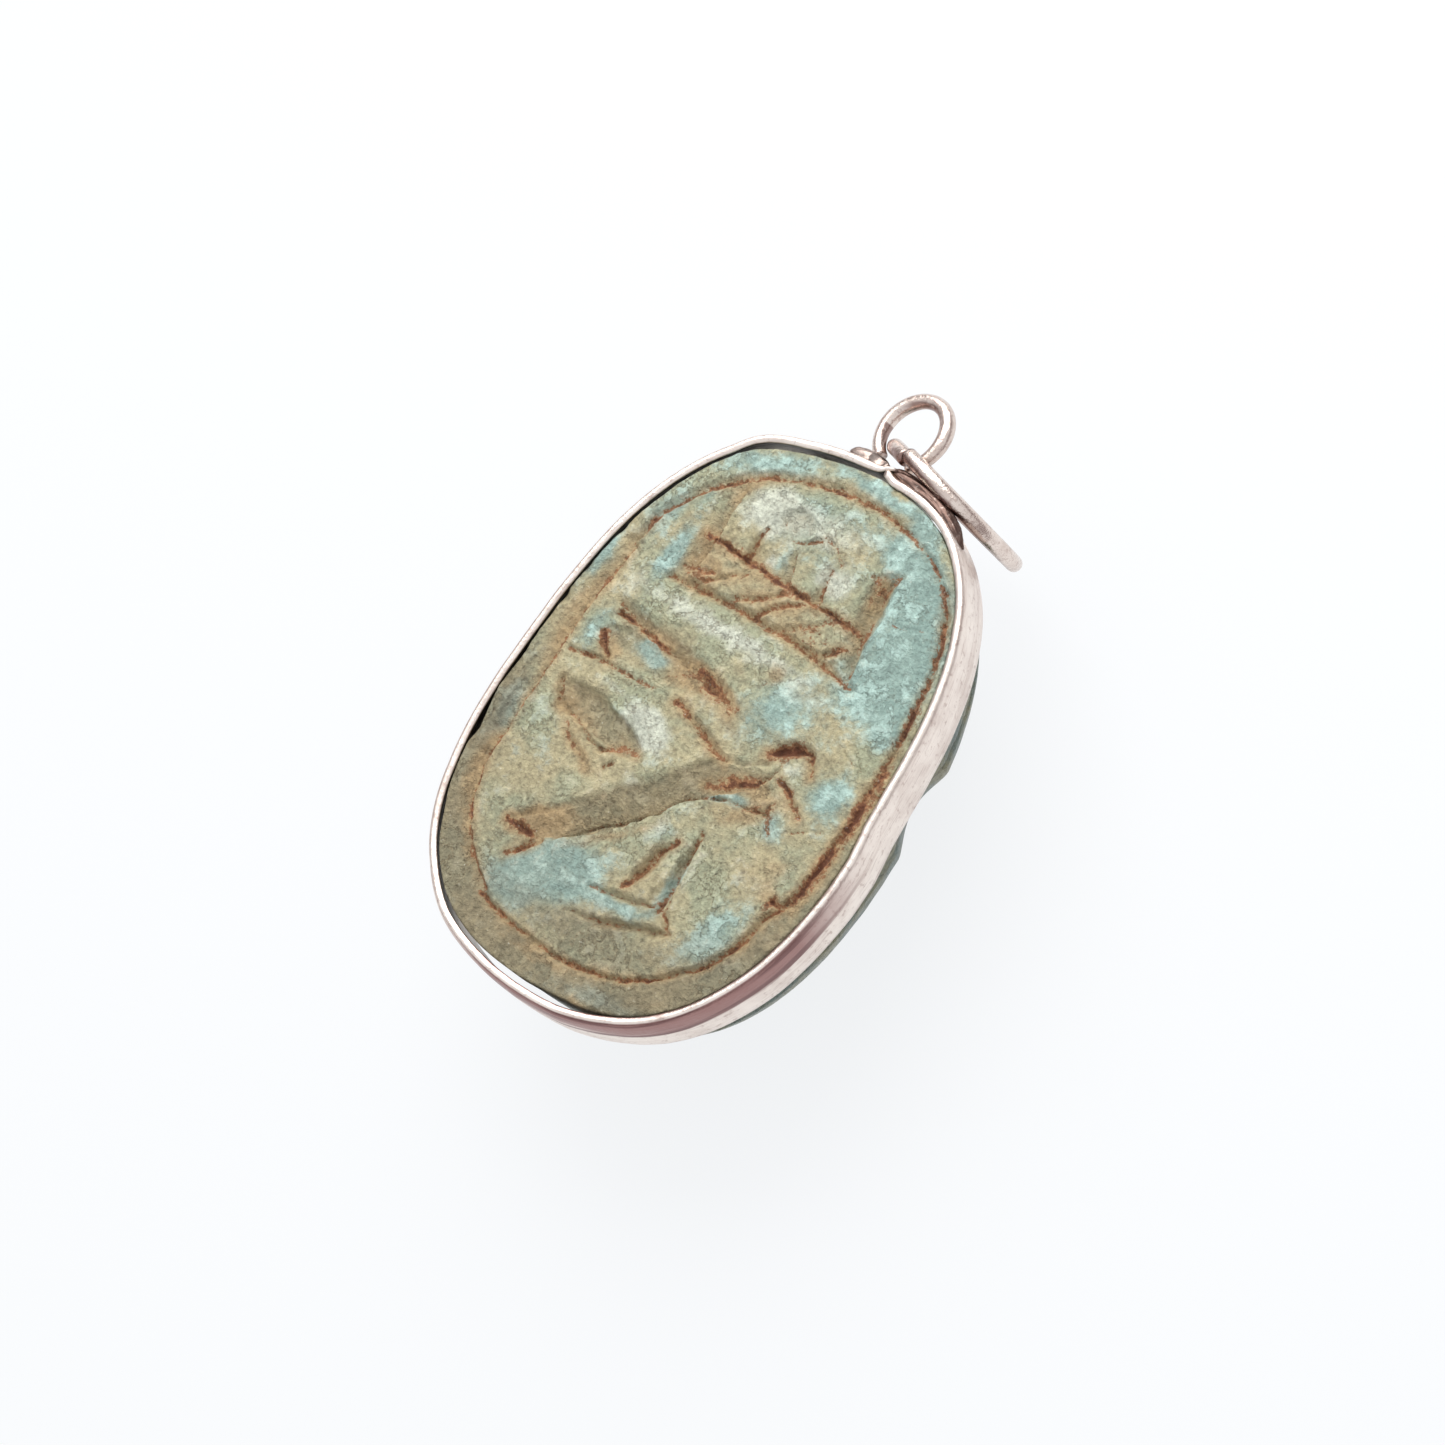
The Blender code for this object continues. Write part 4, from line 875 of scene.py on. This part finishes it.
def silver(name, colour, dull, roughness, scratch_from):
    """Worn silver: a warm white metal with fine scratches, soft tarnish and uneven gloss, and
    painted dark reflections and painted shade read from the piece's layers.
    """
    made = Finish(name)
    place = made.place()
    flow, along_scale, cross_scale = place, (0.2, 1.0, 1.0), (1.0, 0.2, 1.0)
    if scratch_from == "wrap":
        flow = made.node("ShaderNodeUVMap", {"uv_map": "wrap"}, {})
        flow = made.node("ShaderNodeVectorMath", {"operation": "SCALE"}, {0: flow, "Scale": MM})
        along_scale, cross_scale = (0.06, 1.0, 1.0), (0.8, 0.12, 1.0)
    along = made.node("ShaderNodeMapping", {}, {"Vector": flow, "Scale": along_scale})
    cross = made.node("ShaderNodeMapping", {}, {"Vector": flow, "Scale": cross_scale,
                                                "Rotation": (0, 0, 0.6)})
    scratches = made.noise(along, 0.08, 3.0, 0.7)
    rubs = made.noise(cross, 0.12, 3.0, 0.7)
    cloud = made.noise(place, 1.5, 3.0, 0.6)
    wear = made.noise(place, 0.30, 3.0, 0.6)
    tint = made.mix(made.between(cloud, 0.35, 0.75), colour, dull)
    tint = made.mix(0.6 * made.between(wear, 0.54, 0.72), tint, (0.46, 0.34, 0.30, 1))
    tint = made.mix(0.55 * made.between(scratches, 0.54, 0.70), tint, (0.38, 0.27, 0.24, 1))
    if scratch_from == "wrap":
        height = made.node("ShaderNodeSeparateXYZ", {}, {0: flow}, 1) * 1000
        streak = made.noise(along, 0.5, 3.0, 0.6)
        tint = made.mix(0.35 * made.between(streak, 0.50, 0.66), tint, (0.50, 0.38, 0.33, 1))
        # Painted reflection: a plum-dark band on the band's upper wall, with darker streaks, where
        # it would mirror dark surroundings.
        lower = made.between(height + 1.6 * (streak - 0.5), 9.15, 9.40)
        upper = 1 - made.between(height, 10.28, 10.335)
        plum_reflection = made.layer("plum_reflection") * lower * upper
        tint = made.mix(0.92 * plum_reflection, tint, (0.32, 0.165, 0.155, 1))
        tint = made.mix(0.6 * plum_reflection * made.between(streak, 0.50, 0.62), tint,
                        (0.13, 0.07, 0.07, 1))
        rough_spots = made.noise(place, 0.30, 4.0, 0.7)
        solder = made.layer("solder") * made.between(rough_spots, 0.15, 0.45)
        tint = made.mix(0.95 * solder, tint, (0.10, 0.055, 0.043, 1))
        # Painted shade on the band's inner face.
        tint = made.mix(0.95 * made.layer("inner_face_shade"), tint, (0.06, 0.045, 0.038, 1))
    else:
        # Painted reflection and shade on the wires: dark plum-brown where they would mirror dark
        # surroundings, and at the ring's joint.
        dark_reflection_and_shade = made.layer("dark_reflection_and_shade") * made.between(made.noise(along, 0.5, 4.0, 0.7), 0.32, 0.52)
        tint = made.mix(0.85 * dark_reflection_and_shade, tint, (0.20, 0.10, 0.085, 1))
    made.feed(made.shader.inputs["Base Color"], tint)
    made.shader.inputs["Metallic"].default_value = 1.0
    made.feed(made.shader.inputs["Roughness"], roughness - 0.08 + 0.16 * scratches + 0.12 * cloud)
    relief = made.bump(scratches, 0.000012)
    relief = made.bump(rubs, 0.000010, relief)
    relief = made.bump(wear, 0.00003, relief)
    made.feed(made.shader.inputs["Normal"], relief)
    return made.material


places = places_of(band)
degrees = np.degrees(np.arctan2(places[:, 1], places[:, 0]))
# Painted reflection: where the plum band lies round the band, in degrees.
paint(band, "plum_reflection", np.interp(degrees, [-112, -96, -30, -8], [0, 1, 1, 0]))
band.data.materials.clear()
band.data.materials.append(silver("satin_silver", (0.91, 0.82, 0.75, 1),
                                  (0.76, 0.66, 0.60, 1), 0.28, "wrap"))
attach(band, "root")
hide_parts("silver_band")


# Suspension loop.
# A short length of silver wire bent to an open loop, both feet soldered to the band's outside at
# the head end.
LOOP_WIRE = 0.00072
LOOP_RADIUS = 0.00176
LOOP_CLEARANCE = 0.00004
BAND_OUTSIDE = 0.00054
LOOP_ROLL = math.radians(14.5)
LOOP_CENTRE = Vector((0.00012, HALF_LENGTH + BAND_OUTSIDE + LOOP_CLEARANCE + LOOP_RADIUS
                      + LOOP_WIRE / 2, STONE_TOP - 0.0012))


def wire_ring(name, radius, wire, start, sweep, steps, sides=20):
    """A round wire spun round the origin in the XY plane, from a start angle through a sweep."""
    bpy.ops.object.select_all(action="DESELECT")
    bpy.ops.mesh.primitive_circle_add(vertices=sides, radius=wire / 2, fill_type="NGON",
                                      location=(radius, 0, 0), rotation=(math.pi / 2, 0, 0))
    made = bpy.context.object
    made.name = name
    bpy.ops.object.transform_apply(location=True, rotation=True, scale=True)
    bpy.ops.object.mode_set(mode="EDIT")
    bpy.ops.mesh.select_all(action="SELECT")
    bpy.ops.mesh.spin(steps=steps, angle=sweep, center=(0, 0, 0), axis=(0, 0, -1))
    bpy.ops.mesh.select_all(action="SELECT")
    bpy.ops.mesh.normals_make_consistent(inside=False)
    bpy.ops.object.mode_set(mode="OBJECT")
    made.data.transform(Matrix.Rotation(start, 4, "Z"))
    made.data.shade_smooth()
    return made


loop = wire_ring("wire_loop", LOOP_RADIUS, LOOP_WIRE, math.radians(-59),
                 math.radians(298), 120)
co = places_of(loop)
angle = np.arctan2(co[:, 1], co[:, 0])
radial = np.column_stack([np.cos(angle), np.sin(angle), np.zeros(len(angle))])
middle = radial * LOOP_RADIUS
thin = 1 - 0.14 * np.clip(-np.sin(angle), 0, 1) + 0.03 * np.sin(3 * angle)
inside = np.clip(-np.sum((co - middle) * radial, axis=1) / (0.5 * LOOP_WIRE), 0, 1)
# Painted reflection: dark on the inside of the loop's top and legs.
dark_reflection_and_shade = np.interp(np.degrees(angle), [-60, -20, 20, 60, 80, 120, 165],
                    [0.9, 0.5, 0.2, 0.9, 1, 0.8, 0])
paint(loop, "dark_reflection_and_shade", dark_reflection_and_shade * (inside > 0.55))
co = middle + (co - middle) * thin[:, None]
lean = Matrix.Rotation(-LOOP_ROLL, 3, "Y")
co = co @ np.array(lean).T + np.array(LOOP_CENTRE)
put(loop, co)
wire_silver = silver("wire_silver", (0.82, 0.72, 0.655, 1), (0.66, 0.545, 0.485, 1), 0.13, "place")
loop.data.materials.append(wire_silver)
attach(loop, "root")
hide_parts("suspension_loop")


# Jump ring.
# A ring of silver wire that hangs on the loop and takes the chain. Its cut ends are pressed
# together but stand a little off each other.
RING_WIRE = 0.00078
RING_RADIUS = 0.00373
RING_CLEARANCE = 0.00006
RING_JOINT = math.radians(112)
RING_JOINT_GAP = 0.00006
RING_JOINT_SHIFT = 0.00016
ring_turn, ring_lean = math.radians(-14.8), math.radians(4.7)
along = Vector((math.cos(ring_turn), math.sin(ring_turn), 0))
up = Matrix.Rotation(ring_lean, 3, along) @ Vector((0, 0, 1))
sideways = along.cross(up)
seat_turn = math.radians(-45)
seat = LOOP_CENTRE + LOOP_RADIUS * Vector((math.cos(seat_turn) * math.cos(LOOP_ROLL),
                                           math.sin(seat_turn),
                                           math.cos(seat_turn) * math.sin(LOOP_ROLL)))
touch = math.radians(110)
lift = ((LOOP_WIRE + RING_WIRE) / 2 + RING_CLEARANCE) / math.sin(touch)
ring_centre = seat + lift * up - RING_RADIUS * (math.cos(touch) * along + math.sin(touch) * up)
half_gap = RING_JOINT_GAP / 2 / RING_RADIUS
ring_sweep = 2 * math.pi - 2 * half_gap
ring = wire_ring("hanging_ring", RING_RADIUS, RING_WIRE, 0, ring_sweep, 160, 24)
co = places_of(ring)
spun = np.arctan2(co[:, 1], co[:, 0]) % (2 * math.pi)
spun = np.where(spun > 2 * math.pi - half_gap, 0.0, spun)
co[:, 2] += RING_JOINT_SHIFT * (0.5 - spun / ring_sweep)
to_frame = Matrix((along, up, sideways)).transposed()
spin = Matrix.Rotation(RING_JOINT + half_gap, 3, "Z")
co = co @ np.array(spin).T @ np.array(to_frame).T + np.array(ring_centre)
put(ring, co)
# Painted reflection: the ring's side that faces this way is dark; its cut ends are painted dark as
# shade in the joint.
DARK_REFLECTING_SIDE = np.array([-0.55, -0.75, 0.35])
shaded = normals_of(ring) @ DARK_REFLECTING_SIDE
near_end = np.minimum(spun, ring_sweep - spun) < 0.02
paint(ring, "dark_reflection_and_shade", np.maximum(np.clip((shaded - 0.45) / 0.3, 0, 1), near_end))
ring.data.materials.append(wire_silver)
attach(ring, "root")
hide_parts("jump_ring")
